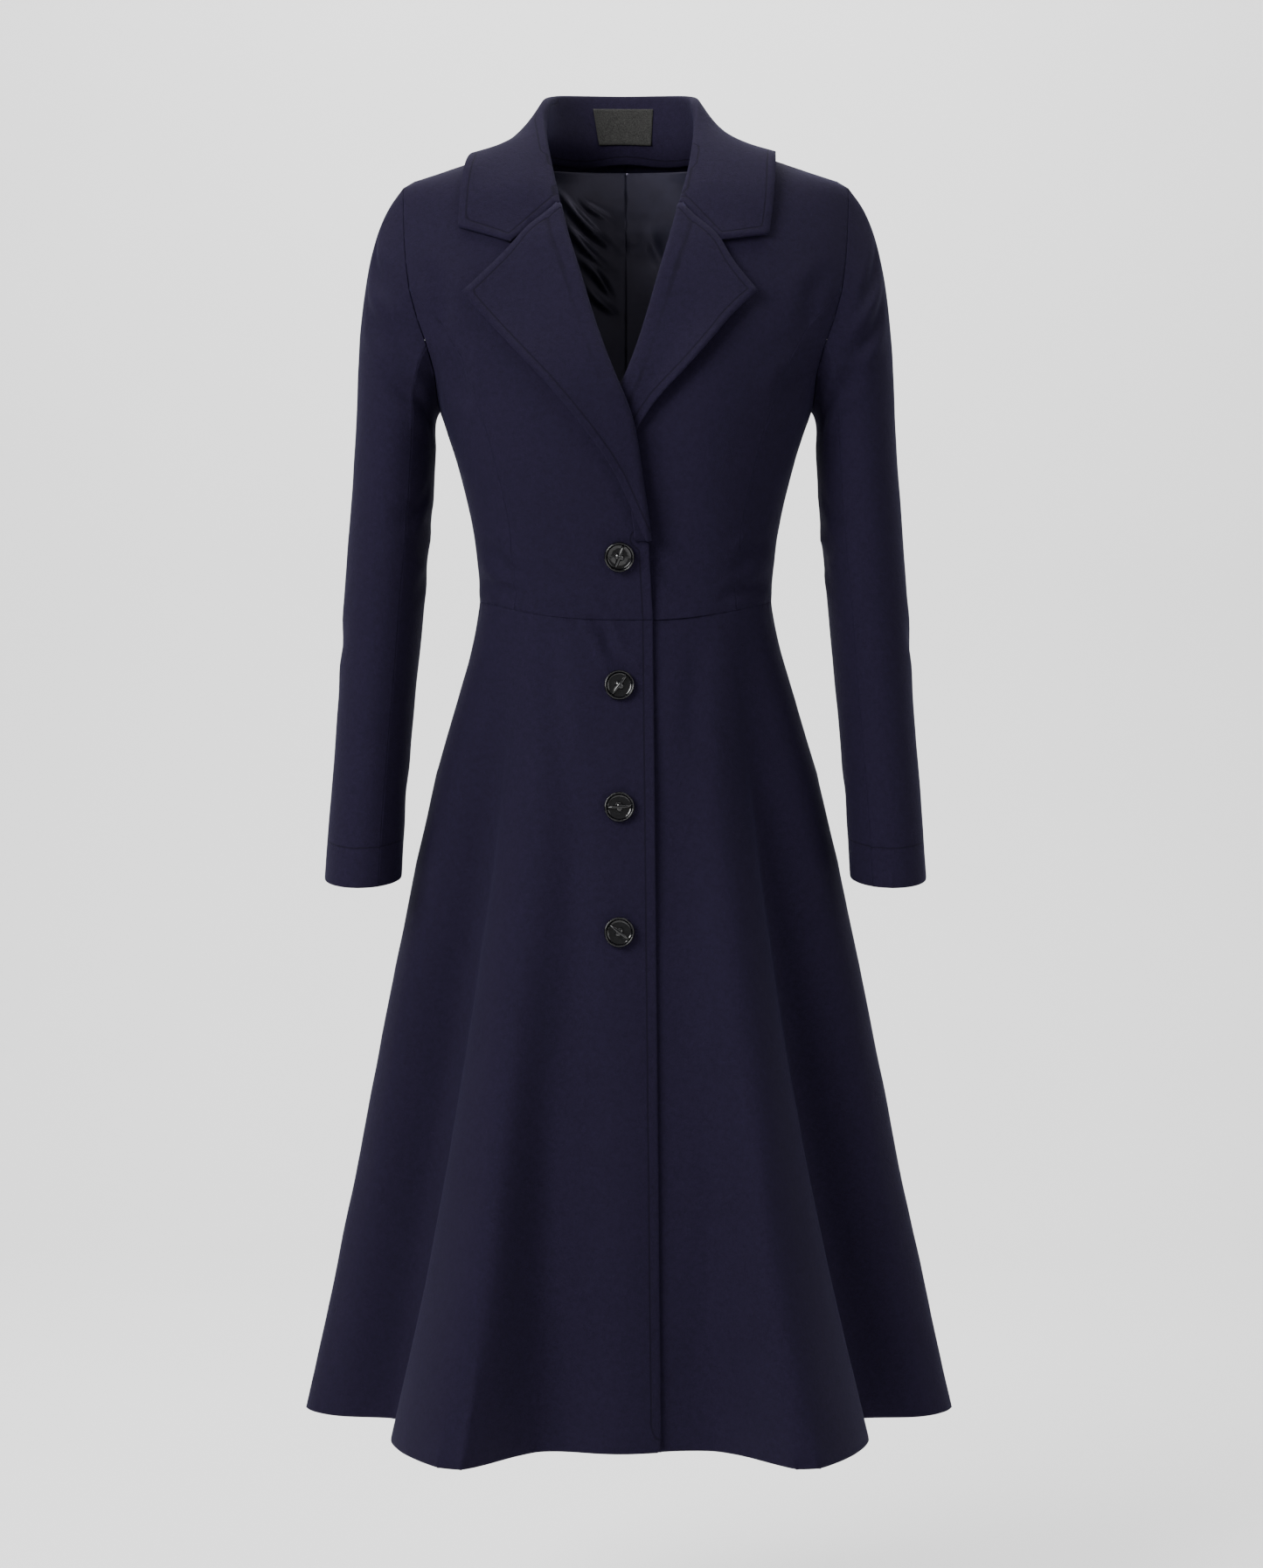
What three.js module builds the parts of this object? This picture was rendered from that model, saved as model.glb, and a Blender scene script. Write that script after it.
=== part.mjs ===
// A knee-length wool coat in its filled-out, hollow worn form, in millimetres.
// Z is up, the front faces -Y and the wearer's left is +X.
// The origin is midway between the two shoulder neck points.
import * as THREE from "three";

// Cloth and seams
const WOOL = 2.4;
const SATIN = 1.0;
const SEAM_GAP = 0.3;
const LAYER_GAP = 1.4;
const LINING_DEPTH = 3.1;
const FOLDED_STACK = 10.6;

// Driving lengths
const TIP_Z = -41;
const ARMPIT_Z = -235;
const BREAK_Z = -353;
const WAIST_SIDE_Z = -398;
const WAIST_DIP_FRONT = 20;
const WAIST_DIP_BACK = 5;
const HEM_Z = -1093;
const CUFF_Z = -632;
const CUFF_DIP = 8;
const BACK_NECK_Z = 3;
const CLOSING_X = -5;

// Front edge: how far it passes the middle of the closing, at three heights
const EDGE_AT_BREAK = 24;
const EDGE_AT_WAIST = 27.5;
const EDGE_AT_HEM = 34;

// Torso sections from the neck down to the waist
const FRONT_SQUARENESS = 2.4;
const BACK_SQUARENESS = 2.2;
const TORSO = [
  { z: 3, half: 66, front: 23, back: 68.8 },
  { z: 0, half: 75, front: 25, back: 70.1 },
  { z: -7, half: 96, front: 30, back: 73 },
  { z: -20, half: 134, front: 39, back: 78 },
  { z: -30, half: 163, front: 45, back: 81 },
  { z: -37, half: 184, front: 49, back: 83.5 },
  { z: -41, half: 190, front: 52, back: 85 },
  { z: -50, half: 196, front: 57, back: 88 },
  { z: -64, half: 199, front: 64, back: 92 },
  { z: -90, half: 203, front: 77, back: 95 },
  { z: -124, half: 205, front: 92, back: 97 },
  { z: -176, half: 190, front: 109, back: 98 },
  { z: -214, half: 166, front: 121, back: 98 },
  { z: -235, half: 159, front: 124, back: 97 },
  { z: -274, half: 146, front: 122, back: 94 },
  { z: -308, half: 137, front: 116, back: 91 },
  { z: -341, half: 130, front: 108, back: 88 },
  { z: -398, half: 125, front: 97, back: 82 },
  { z: -430, half: 127, front: 98, back: 84 },
];

// Armhole and princess seams as seen from the front: half-width at a height
const ARMHOLE = [
  { z: -41, x: 190 },
  { z: -80, x: 188 },
  { z: -124, x: 184 },
  { z: -150, x: 179 },
  { z: -176, x: 170 },
  { z: -205, x: 161 },
  { z: -235, x: 159 },
];
const PRINCESS_FRONT = [
  { z: -138, x: 181.7 },
  { z: -160, x: 168 },
  { z: -169, x: 154.6 },
  { z: -185, x: 142 },
  { z: -226, x: 127.5 },
  { z: -251, x: 117.5 },
  { z: -286, x: 108 },
  { z: -317, x: 100.5 },
  { z: -345, x: 95 },
  { z: -420, x: 91 },
];
const PRINCESS_BACK = [
  { z: -138, x: 181.7 },
  { z: -165, x: 152 },
  { z: -200, x: 124 },
  { z: -250, x: 103 },
  { z: -320, x: 84 },
  { z: -420, x: 74 },
];

// Roll line of a lapel: distance from the middle of the closing at a height
const ROLL_LINE = [
  { z: 3, x: 66 },
  { z: -8, x: 64 },
  { z: -19, x: 61 },
  { z: -42, x: 55 },
  { z: -65, x: 49 },
  { z: -117, x: 35 },
  { z: -173, x: 19 },
  { z: -219, x: 2.6 },
  { z: -251, x: -11 },
  { z: -285, x: -17.5 },
  { z: -313, x: -21 },
  { z: -353, x: -24 },
];

const GORGE_Z = -68;

// Outer edge of a lapel from its tip to the break, measured the same way
const LAPEL_EDGE = [
  { z: -148, right: 126.5, left: 113 },
  { z: -168, right: 111, left: 92 },
  { z: -189, right: 93, left: 76 },
  { z: -212, right: 72, left: 56 },
  { z: -240, right: 47, left: 30 },
  { z: -271, right: 22.5, left: 10 },
  { z: -299, right: 3.5, left: -5 },
  { z: -325, right: -9, left: -15 },
  { z: -341, right: -16.5, left: -18.5 },
];

// Sleeve sections below the armpit
const SLEEVE = [
  { z: -268, centre: 197.5, half: 35.0, deep: 54, forward: 0 },
  { z: -308, centre: 199.7, half: 35.6, deep: 54, forward: -1 },
  { z: -353, centre: 203.5, half: 35.3, deep: 53, forward: -1 },
  { z: -398, centre: 207.5, half: 34.6, deep: 52, forward: 0 },
  { z: -443, centre: 210.3, half: 34.0, deep: 51, forward: 2 },
  { z: -510, centre: 215.0, half: 33.0, deep: 49, forward: 8 },
  { z: -560, centre: 218.5, half: 32.3, deep: 48, forward: 13 },
  { z: -611, centre: 222.6, half: 32.6, deep: 47.5, forward: 18 },
  { z: -640, centre: 223.5, half: 33.0, deep: 47.5, forward: 20 },
];
const FORE_SEAM = 120;
const HIND_SEAM = 255;
const AROUND_STEP = 15;

// Folds of the skirt in order round the hem, from the middle of the front by the wearer's left.
// waistX with face -1 (front) or 1 (back) places the top; growX and growY say how late it spreads.
const FOLDS = [
  { name: "front middle", waistX: -5, face: -1, hemX: -5, hemY: -150, growX: 1, growY: 1 },
  { name: "front valley left", waistX: 30, face: -1, hemX: 75, hemY: -138, growX: 0.8, growY: 1 },
  { name: "front lobe left", waistX: 65, face: -1, hemX: 144, hemY: -201, growX: 1.5, growY: 1.6 },
  { name: "lobe side left", waistX: 86, face: -1, hemX: 202, hemY: -100, growX: 1.6, growY: 1.5 },
  { name: "deep valley left", waistX: 99, face: -1, hemX: 194, hemY: -24, growX: 1.6, growY: 1.3 },
  { name: "flare front left", waistX: 114, face: -1, hemX: 254, hemY: -14, growX: 1, growY: 1 },
  { name: "side left", waistX: 125, face: 1, hemX: 283, hemY: 23, growX: 1, growY: 1 },
  { name: "flare back left", waistX: 112, face: 1, hemX: 250, hemY: 84, growX: 1, growY: 1 },
  { name: "back valley left", waistX: 90, face: 1, hemX: 184, hemY: 88, growX: 1.3, growY: 1.4 },
  { name: "back lobe left", waistX: 62, face: 1, hemX: 134, hemY: 186, growX: 1.2, growY: 1.5 },
  { name: "back dip left", waistX: 30, face: 1, hemX: 66, hemY: 150, growX: 1, growY: 1.2 },
  { name: "back middle", waistX: 0, face: 1, hemX: 0, hemY: 172, growX: 1, growY: 1 },
  { name: "back dip right", waistX: -32, face: 1, hemX: -72, hemY: 146, growX: 1, growY: 1.2 },
  { name: "back lobe right", waistX: -60, face: 1, hemX: -128, hemY: 192, growX: 1.2, growY: 1.5 },
  { name: "back valley right", waistX: -88, face: 1, hemX: -186, hemY: 92, growX: 1.3, growY: 1.4 },
  { name: "flare back right", waistX: -112, face: 1, hemX: -246, hemY: 78, growX: 1, growY: 1 },
  { name: "side right", waistX: -125, face: 1, hemX: -277, hemY: 23, growX: 1, growY: 1 },
  { name: "flare front right", waistX: -114, face: -1, hemX: -250, hemY: -10, growX: 1, growY: 1 },
  { name: "deep valley right", waistX: -98, face: -1, hemX: -190, hemY: -26, growX: 1.6, growY: 1.3 },
  { name: "lobe side right", waistX: -85, face: -1, hemX: -194, hemY: -105, growX: 1.6, growY: 1.5 },
  { name: "front lobe right", waistX: -65, face: -1, hemX: -134, hemY: -201, growX: 1.5, growY: 1.6 },
  { name: "front valley right", waistX: -34, face: -1, hemX: -68, hemY: -138, growX: 0.8, growY: 1 },
];
const SIDE_LEFT = 6;
const BACK_MIDDLE = 11;
const SIDE_RIGHT = 16;

// Share of the flare reached at a share of the skirt's length
const FLARE = [
  { z: 0, share: 0 },
  { z: 0.06, share: 0.045 },
  { z: 0.155, share: 0.184 },
  { z: 0.22, share: 0.263 },
  { z: 0.35, share: 0.395 },
  { z: 0.545, share: 0.572 },
  { z: 0.74, share: 0.744 },
  { z: 0.935, share: 0.935 },
  { z: 1, share: 1 },
];

// Collar stations from the middle of the back to the front end of each side.
// top is the roll, mid and edge lie on the fall; root places the seam on the neckline.
const COLLAR_LEFT = [
  { root: 180, top: [-3, 77, 56], mid: [-3, 96, 18], edge: [-3, 104, -24] },
  { root: 152, top: [36, 66, 54], mid: [50, 80, 17], edge: [64, 92, -24] },
  { root: 122, top: [56, 38, 47], mid: [80, 48, 13], edge: [105, 54, -21] },
  { root: 92, top: [59, 8, 35], mid: [90, 8, 4], edge: [127, 4, -19] },
  { root: -15, top: [57.5, -13, 6], mid: [93, -22, -14], edge: [125, -24, -36] },
  { root: -38, top: [53, -38, -31], mid: [88, -46, -52], edge: [121, -42, -68] },
  { root: GORGE_Z, top: [44, -62, -67], mid: [75, -64, -103], edge: [117, -55, -96] },
];
const COLLAR_RIGHT = [
  { root: 180, top: [-3, 77, 56], mid: [-3, 96, 18], edge: [-3, 104, -24] },
  { root: 152, top: [-42, 66, 54], mid: [-54, 80, 17], edge: [-68, 92, -24] },
  { root: 122, top: [-64, 38, 47], mid: [-84, 48, 13], edge: [-108, 54, -21] },
  { root: 92, top: [-69, 8, 35], mid: [-96, 8, 4], edge: [-127, 4, -19] },
  { root: -15, top: [-68, -13, 6], mid: [-103, -22, -14], edge: [-134, -24, -36] },
  { root: -38, top: [-62, -38, -31], mid: [-100, -46, -52], edge: [-138, -42, -62] },
  { root: GORGE_Z, top: [-54, -62, -67], mid: [-93, -64, -103], edge: [-139, -52, -86] },
];
const TURN_RADIUS = 4.6;
const STRIP_DEPTH = 9;
const NECK_EASE = 4;
const FOLD_INSET = 5.6;
const FOLD_EASE = 6;
const LEAF_RISE = { right: 6, left: 4 };

// Buttons
const BUTTON_RADIUS = 12.5;
const BUTTON_THICK = 6;
const BUTTONS_Z = [-366, -472, -572, -674];

const COLOURS = {
  wool: 0x1f1d30,
  satin: 0x191923,
  label: 0x1e1e1c,
  button: 0x0b0b0d,
};

// A smooth monotone curve through the rows of a table, read at any height.
function readTable(rows, key) {
  const sorted = [...rows].sort((a, b) => a.z - b.z);
  const z = sorted.map((row) => row.z);
  const value = sorted.map((row) => row[key]);
  const last = z.length - 1;
  const slope = z.slice(1).map((top, i) => (value[i + 1] - value[i]) / (top - z[i]));
  const tangent = z.map((_, i) => {
    if (i === 0) return slope[0];
    if (i === last) return slope[last - 1];
    const product = slope[i - 1] * slope[i];
    return product <= 0 ? 0 : (2 * product) / (slope[i - 1] + slope[i]);
  });
  return (height) => {
    const h = Math.min(Math.max(height, z[0]), z[last]);
    let i = 0;
    while (i < last - 1 && h > z[i + 1]) i += 1;
    const width = z[i + 1] - z[i];
    const t = (h - z[i]) / width;
    const t2 = t * t;
    const t3 = t2 * t;
    return (
      (2 * t3 - 3 * t2 + 1) * value[i] +
      (t3 - 2 * t2 + t) * width * tangent[i] +
      (3 * t2 - 2 * t3) * value[i + 1] +
      (t3 - t2) * width * tangent[i + 1]
    );
  };
}

const torsoHalf = readTable(TORSO, "half");
const torsoFront = readTable(TORSO, "front");
const torsoBack = readTable(TORSO, "back");
const armholeX = readTable(ARMHOLE, "x");
const princessFrontX = readTable(PRINCESS_FRONT, "x");
const princessBackX = readTable(PRINCESS_BACK, "x");
const rollX = readTable(ROLL_LINE, "x");
const lapelEdgeX = { right: readTable(LAPEL_EDGE, "right"), left: readTable(LAPEL_EDGE, "left") };
const flareShare = readTable(FLARE, "share");

const mix = (a, b, t) => a + (b - a) * t;
const clamp01 = (t) => Math.min(Math.max(t, 0), 1);
const easeStep = (t) => clamp01(t) * clamp01(t) * (3 - 2 * clamp01(t));
const radians = (degrees) => (degrees * Math.PI) / 180;
const vector = (x, y, z) => new THREE.Vector3(x, y, z);
const range = (count, first = 0, last = 1) =>
  Array.from({ length: count + 1 }, (_, i) => mix(first, last, i / count));

// How deep the lower of the two closed fronts lies under the upper one.
function underlap(x, z) {
  const stack = mix(FOLDED_STACK, WOOL + LAYER_GAP, easeStep((-360 - z) / 50));
  const across = easeStep((75 - x) / 62);
  const down = easeStep((-112 - z) / 105);
  return stack * across * down;
}

// The torso's outward direction at a point on or near it.
function torsoNormal(x, y, z) {
  const step = 0.5;
  const square = y < 0 ? FRONT_SQUARENESS : BACK_SQUARENESS;
  const depthAt = y < 0 ? torsoFront : torsoBack;
  const size = (height) =>
    (Math.abs(x) / torsoHalf(height)) ** square + (Math.abs(y) / depthAt(height)) ** square;
  const half = torsoHalf(z);
  const depth = depthAt(z);
  const inX = (square / half) * (Math.abs(x) / half) ** (square - 1) * Math.sign(x);
  const inY = (square / depth) * (Math.abs(y) / depth) ** (square - 1) * Math.sign(y);
  const inZ = (size(z + step) - size(z - step)) / (2 * step);
  return vector(inX, inY, inZ).normalize();
}

// A point of the torso: angle 0 is the front middle, 90 the side and 180 the back middle.
function torsoPoint(side, angle, z, out = 0) {
  const front = Math.cos(angle) > 1e-9;
  const power = 2 / (front ? FRONT_SQUARENESS : BACK_SQUARENESS);
  const depth = front ? -torsoFront(z) : torsoBack(z);
  const sine = Math.sin(angle);
  const x = side * Math.sign(sine) * torsoHalf(z) * Math.abs(sine) ** power;
  const y = depth * Math.abs(Math.cos(angle)) ** power;
  const normal = torsoNormal(x, y, z);
  const sunk = side > 0 && front ? underlap(x, z) : 0;
  return { point: vector(x, y, z).addScaledVector(normal, out - sunk), normal };
}

// The angle at which the torso has a given half-width at a height.
function angleAt(x, z, face = -1) {
  const square = face < 0 ? FRONT_SQUARENESS : BACK_SQUARENESS;
  const share = Math.min(Math.abs(x) / torsoHalf(z), 1);
  const angle = Math.sign(x) * Math.asin(share ** (square / 2));
  return face < 0 ? angle : Math.PI - angle;
}

function waistZ(angle) {
  const cosine = Math.cos(angle);
  const dip = cosine > 0 ? WAIST_DIP_FRONT : WAIST_DIP_BACK;
  return WAIST_SIDE_Z - dip * cosine * cosine;
}

// Closed wall between two grids of points that match row by row.
function wallGeometry(outer, inner) {
  const rows = outer.length;
  const cols = outer[0].length;
  const points = [...outer.flat(), ...inner.flat()];
  const at = (row, col, layer) => layer * rows * cols + row * cols + col;
  const faces = [];
  const quad = (a, b, c, d) => faces.push(a, b, c, a, c, d);
  for (let row = 0; row < rows - 1; row += 1) {
    for (let col = 0; col < cols - 1; col += 1) {
      quad(at(row, col, 0), at(row, col + 1, 0), at(row + 1, col + 1, 0), at(row + 1, col, 0));
      quad(at(row, col, 1), at(row + 1, col, 1), at(row + 1, col + 1, 1), at(row, col + 1, 1));
    }
  }
  for (let col = 0; col < cols - 1; col += 1) {
    quad(at(0, col, 0), at(0, col, 1), at(0, col + 1, 1), at(0, col + 1, 0));
    const top = rows - 1;
    quad(at(top, col, 0), at(top, col + 1, 0), at(top, col + 1, 1), at(top, col, 1));
  }
  for (let row = 0; row < rows - 1; row += 1) {
    quad(at(row, 0, 0), at(row + 1, 0, 0), at(row + 1, 0, 1), at(row, 0, 1));
    const end = cols - 1;
    quad(at(row, end, 0), at(row, end, 1), at(row + 1, end, 1), at(row + 1, end, 0));
  }
  let volume = 0;
  for (let i = 0; i < faces.length; i += 3) {
    const [a, b, c] = [points[faces[i]], points[faces[i + 1]], points[faces[i + 2]]];
    volume += a.dot(vector().crossVectors(b, c));
  }
  if (volume < 0) faces.reverse();
  const geometry = new THREE.BufferGeometry().setFromPoints(points);
  geometry.setIndex(faces);
  geometry.computeVertexNormals();
  return geometry;
}

// Draws the border of a grid of points in by half a seam gap.
function pullIn(grid, amount = SEAM_GAP / 2) {
  const rows = grid.length - 1;
  const cols = grid[0].length - 1;
  const moved = grid.map((line) => line.map((point) => point.clone()));
  const shift = (row, col, toRow, toCol) => {
    const step = grid[toRow][toCol].clone().sub(grid[row][col]).setLength(amount);
    moved[row][col].add(step);
  };
  for (let col = 0; col <= cols; col += 1) {
    shift(0, col, 1, col);
    shift(rows, col, rows - 1, col);
  }
  for (let row = 0; row <= rows; row += 1) {
    shift(row, 0, row, 1);
    shift(row, cols, row, cols - 1);
  }
  return moved;
}

// A cloth panel from a grid of outer points and their directions into the cloth.
function panelGeometry(outer, inward, thick) {
  const inner = outer.map((line, row) =>
    line.map((point, col) => point.clone().addScaledVector(inward[row][col], thick)),
  );
  return wallGeometry(pullIn(outer), pullIn(inner));
}

// Fills a four-sided border of [angle, height] pairs with a grid.
function fillBorder({ bottom, top, left, right }) {
  const rows = left.length - 1;
  const cols = bottom.length - 1;
  return left.map((_, row) =>
    bottom.map((__, col) => {
      const u = col / cols;
      const v = row / rows;
      return [0, 1].map((k) => {
        const sides = mix(left[row][k], right[row][k], u);
        const ends = mix(bottom[col][k], top[col][k], v);
        const low = mix(bottom[0][k], bottom[cols][k], u);
        const high = mix(top[0][k], top[cols][k], u);
        return sides + ends - mix(low, high, v);
      });
    }),
  );
}

const SEAM_ROWS = 9;
const ARM_ROWS = 6;
const PRINCESS_TOP_Z = (TIP_Z + ARMPIT_Z) / 2;
const armholeZ = (degrees) =>
  (TIP_Z + ARMPIT_Z) / 2 + ((TIP_Z - ARMPIT_Z) / 2) * Math.cos(radians(degrees));

// Distance from the wearer's middle of a point given from the middle of the closing.
const fromClosing = (side, distance) => side * CLOSING_X + distance;

// Free or folded edge of a front, from the waist up to the neck point.
function frontBorderX(side, z) {
  if (z <= BREAK_Z - 3) {
    const share = clamp01((BREAK_Z - z) / (BREAK_Z - WAIST_SIDE_Z + WAIST_DIP_FRONT));
    return fromClosing(side, -mix(EDGE_AT_BREAK, EDGE_AT_WAIST, share));
  }
  const folded = fromClosing(side, rollX(z) + FOLD_INSET);
  return mix(folded, torsoHalf(0), easeStep((z + 24) / 24));
}

const FRONT_COLS = 8;
const NECK_COLS = 6;
const FRONT_ROW_Z = [-385, -356, -349, -318, -284, -254, -228, -202, -176, -150, -124, -92, -54, -18, 0];
const BACK_TOP_Z = [-112, -82, -54, -30, -12, BACK_NECK_Z];

// Seam points are [half-width, height] pairs seen from the front or the back.
function princessBorder(xAt, face) {
  const waistX = xAt(-412);
  const low = waistZ(angleAt(waistX, WAIST_SIDE_Z - WAIST_DIP_BACK, face));
  return range(SEAM_ROWS, low, PRINCESS_TOP_Z).map((z, i) => {
    if (i === 0) return [waistX, z];
    return [i === SEAM_ROWS ? armholeX(z) : xAt(z), z];
  });
}

function armholeAt(degrees) {
  const z = armholeZ(degrees);
  return [armholeX(z), z];
}

// The waist seam between two half-widths, evenly round the torso.
function waistBorder(count, from, to, face) {
  const first = angleAt(from, WAIST_SIDE_Z, face);
  const last = angleAt(to, WAIST_SIDE_Z, face);
  return range(count, first, last).map((angle) => {
    const z = waistZ(angle);
    const power = 2 / (face < 0 ? FRONT_SQUARENESS : BACK_SQUARENESS);
    const sine = Math.sin(angle);
    return [torsoHalf(z) * Math.sign(sine) * Math.abs(sine) ** power, z];
  });
}

const ridge = (count) => range(count, 0, TIP_Z).map((z) => [torsoHalf(z), z]);
const armRows = () => range(ARM_ROWS, 90, 0).slice(1).map(armholeAt);
const toAngles = (face) => ([x, z]) => [angleAt(x, z, face), z];

function frontPatch(side) {
  const princess = princessBorder(princessFrontX, -1);
  const ease = (z) => (z > BREAK_Z ? FOLD_EASE : 0);
  const left = [waistZ(0), ...FRONT_ROW_Z].map((z) => [frontBorderX(side, z) + ease(z), z]);
  left[left.length - 1] = [torsoHalf(0), 0];
  const bottom = waistBorder(FRONT_COLS, left[0][0], princess[0][0], -1);
  left[0] = bottom[0];
  princess[0] = bottom[FRONT_COLS];
  const grid = fillBorder({
    bottom,
    top: ridge(FRONT_COLS),
    left,
    right: [...princess, ...armRows()],
  });
  return grid.map((line) => line.map(toAngles(-1)));
}

function backPatch() {
  const princess = princessBorder(princessBackX, 1);
  const low = waistZ(Math.PI);
  const spine = range(SEAM_ROWS, low, PRINCESS_TOP_Z).map((z) => [0, z]);
  const left = [...spine, ...BACK_TOP_Z.map((z) => [0, z])];
  const neck = range(NECK_COLS, 180, 90).slice(0, -1).map((degrees) => {
    const [angle, z] = backNeck(degrees);
    return [torsoHalf(z) * Math.abs(Math.sin(angle)) ** (2 / BACK_SQUARENESS), z];
  });
  const cols = NECK_COLS + FRONT_COLS;
  const bottom = waistBorder(cols, 0, princess[0][0], 1);
  princess[0] = bottom[cols];
  const top = [...neck, ...ridge(FRONT_COLS)];
  const grid = fillBorder({ bottom, top, left, right: [...princess, ...armRows()] });
  return grid.map((line) => line.map(toAngles(1)));
}

// A side panel between a princess seam and the side seam, under half of the armhole.
function sidePatch(xAt, face) {
  const princess = princessBorder(xAt, face);
  const side = [torsoHalf(WAIST_SIDE_Z), WAIST_SIDE_Z];
  const bottom = waistBorder(ARM_ROWS, princess[0][0], side[0], face);
  princess[0] = bottom[0];
  const right = range(SEAM_ROWS, WAIST_SIDE_Z, ARMPIT_Z).map((z) => [torsoHalf(z), z]);
  const top = range(ARM_ROWS, 90, 180).map(armholeAt);
  const angles = (pairs) => pairs.map(toAngles(face));
  return fillBorder({
    bottom: angles(bottom),
    top: angles(top),
    left: angles(princess),
    right: angles(right),
  });
}

const backNeck = (degrees) => [radians(degrees), BACK_NECK_Z * ((degrees - 90) / 90)];

// A bodice panel follows the torso at a given depth under its outer face.
function torsoPanel(side, patch, thick = WOOL, depth = 0) {
  const found = patch.map((line) =>
    line.map(([angle, z]) => torsoPoint(side, angle, z, -depth)),
  );
  const outer = found.map((line) => line.map((one) => one.point));
  const inward = found.map((line) => line.map((one) => one.normal.clone().negate()));
  return panelGeometry(outer, inward, thick);
}

// The lining shows only in the neck, so it stops short of the collar's turned-in strip
// and of the shoulder seam and armhole.
function liningPatch() {
  return backPatch().slice(0, -1).map((line) => line.slice(0, -2));
}

// The skirt's outer face: place round the folds and share of its length.
const skirtRings = new Map();

function skirtRing(share) {
  const key = share.toFixed(6);
  if (!skirtRings.has(key)) {
    const flare = flareShare(clamp01(share));
    const points = FOLDS.map((fold) => {
      const reach = Math.abs(fold.waistX) / torsoHalf(WAIST_SIDE_Z);
      const square = fold.face < 0 ? FRONT_SQUARENESS : BACK_SQUARENESS;
      const depth = fold.face < 0 ? torsoFront(WAIST_SIDE_Z) : torsoBack(WAIST_SIDE_Z);
      const waistY = fold.face * depth * Math.max(1 - reach ** square, 0) ** (1 / square);
      const x = mix(fold.waistX, fold.hemX, flare ** fold.growX);
      const y = mix(waistY, fold.hemY, flare ** fold.growY);
      return vector(x, y, 0);
    });
    skirtRings.set(key, new THREE.CatmullRomCurve3(points, true, "centripetal"));
  }
  return skirtRings.get(key);
}

const roundShare = (place) => (((place / FOLDS.length) % 1) + 1) % 1;

function skirtPoint(place, share) {
  const top = skirtRing(0).getPoint(roundShare(place));
  const half = torsoHalf(WAIST_SIDE_Z);
  const depth = top.y < 0 ? torsoFront(WAIST_SIDE_Z) : torsoBack(WAIST_SIDE_Z);
  const square = top.y < 0 ? FRONT_SQUARENESS : BACK_SQUARENESS;
  const size = (Math.abs(top.x) / half) ** square + (Math.abs(top.y) / depth) ** square;
  const fit = top.clone().multiplyScalar(size ** (-1 / square) - 1);
  const point = skirtRing(share).getPoint(roundShare(place));
  point.addScaledVector(fit, (1 - clamp01(share)) ** 6);
  const cosine = (-top.y * size ** (-1 / square)) / depth;
  const dip = top.y < 0 ? WAIST_DIP_FRONT : WAIST_DIP_BACK;
  point.z = mix(WAIST_SIDE_Z - dip * Math.abs(cosine) ** square, HEM_Z, share);
  return point;
}

function skirtNormal(place, share) {
  const step = 0.01;
  const along = skirtPoint(place + step, share).sub(skirtPoint(place - step, share));
  const down = skirtPoint(place, share + step).sub(skirtPoint(place, Math.max(share - step, 0)));
  return down.cross(along).normalize();
}

// Where the skirt's face reaches a given X near the closing.
function placeAtX(x, share) {
  let low = -1.5;
  let high = 1.5;
  for (let i = 0; i < 40; i += 1) {
    const middle = (low + high) / 2;
    if (skirtPoint(middle, share).x < x) low = middle;
    else high = middle;
  }
  return (low + high) / 2;
}

const SKIRT_ROWS = [0, 0.05, 0.12, 0.21, 0.32, 0.45, 0.59, 0.73, 0.87, 1];

// A skirt panel between two places, or from the closing's edge when first is null.
function skirtPanel(side, first, last, cols) {
  const outer = [];
  const inward = [];
  for (const share of SKIRT_ROWS) {
    const edge = CLOSING_X - side * mix(EDGE_AT_WAIST, EDGE_AT_HEM, share);
    const start = first === null ? placeAtX(edge, share) : first;
    const places = range(cols, start, last);
    const normals = places.map((place) => skirtNormal(place, share));
    const line = places.map((place, i) => {
      const point = skirtPoint(place, share);
      const under = side > 0 && point.y < 0 ? easeStep((80 - point.x) / 48) : 0;
      return point.addScaledVector(normals[i], -under * (WOOL + LAYER_GAP));
    });
    outer.push(line);
    inward.push(normals.map((normal) => normal.clone().negate()));
  }
  return panelGeometry(outer, inward, WOOL);
}

const sleeveCentre = readTable(SLEEVE, "centre");
const sleeveHalf = readTable(SLEEVE, "half");
const sleeveDeep = readTable(SLEEVE, "deep");
const sleeveForward = readTable(SLEEVE, "forward");
const CAP_Z = SLEEVE[0].z;
const CAP_ROWS = [0, 0.1, 0.22, 0.36, 0.52, 0.68, 0.84];
const TUBE_ROWS = 6;

// The armhole seam of the wearer's left side, with the way out of the panel into the hole.
function armholeSeam(degrees) {
  const face = Math.sin(radians(degrees)) >= 0 ? -1 : 1;
  const [x, z] = armholeAt(degrees);
  return torsoPoint(1, angleAt(x, z, face), z);
}

function armholeFrame(degrees) {
  const { point, normal } = armholeSeam(degrees);
  const step = 2;
  const along = armholeSeam(degrees + step).point.sub(armholeSeam(degrees - step).point);
  const hole = normal.clone().cross(along).normalize();
  return { point, normal, hole };
}

function sleeveRing(degrees, z) {
  const turn = radians(degrees);
  const x = sleeveCentre(z) + sleeveHalf(z) * Math.cos(turn);
  const y = -sleeveForward(z) - sleeveDeep(z) * Math.sin(turn);
  return vector(x, y, z);
}

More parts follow.
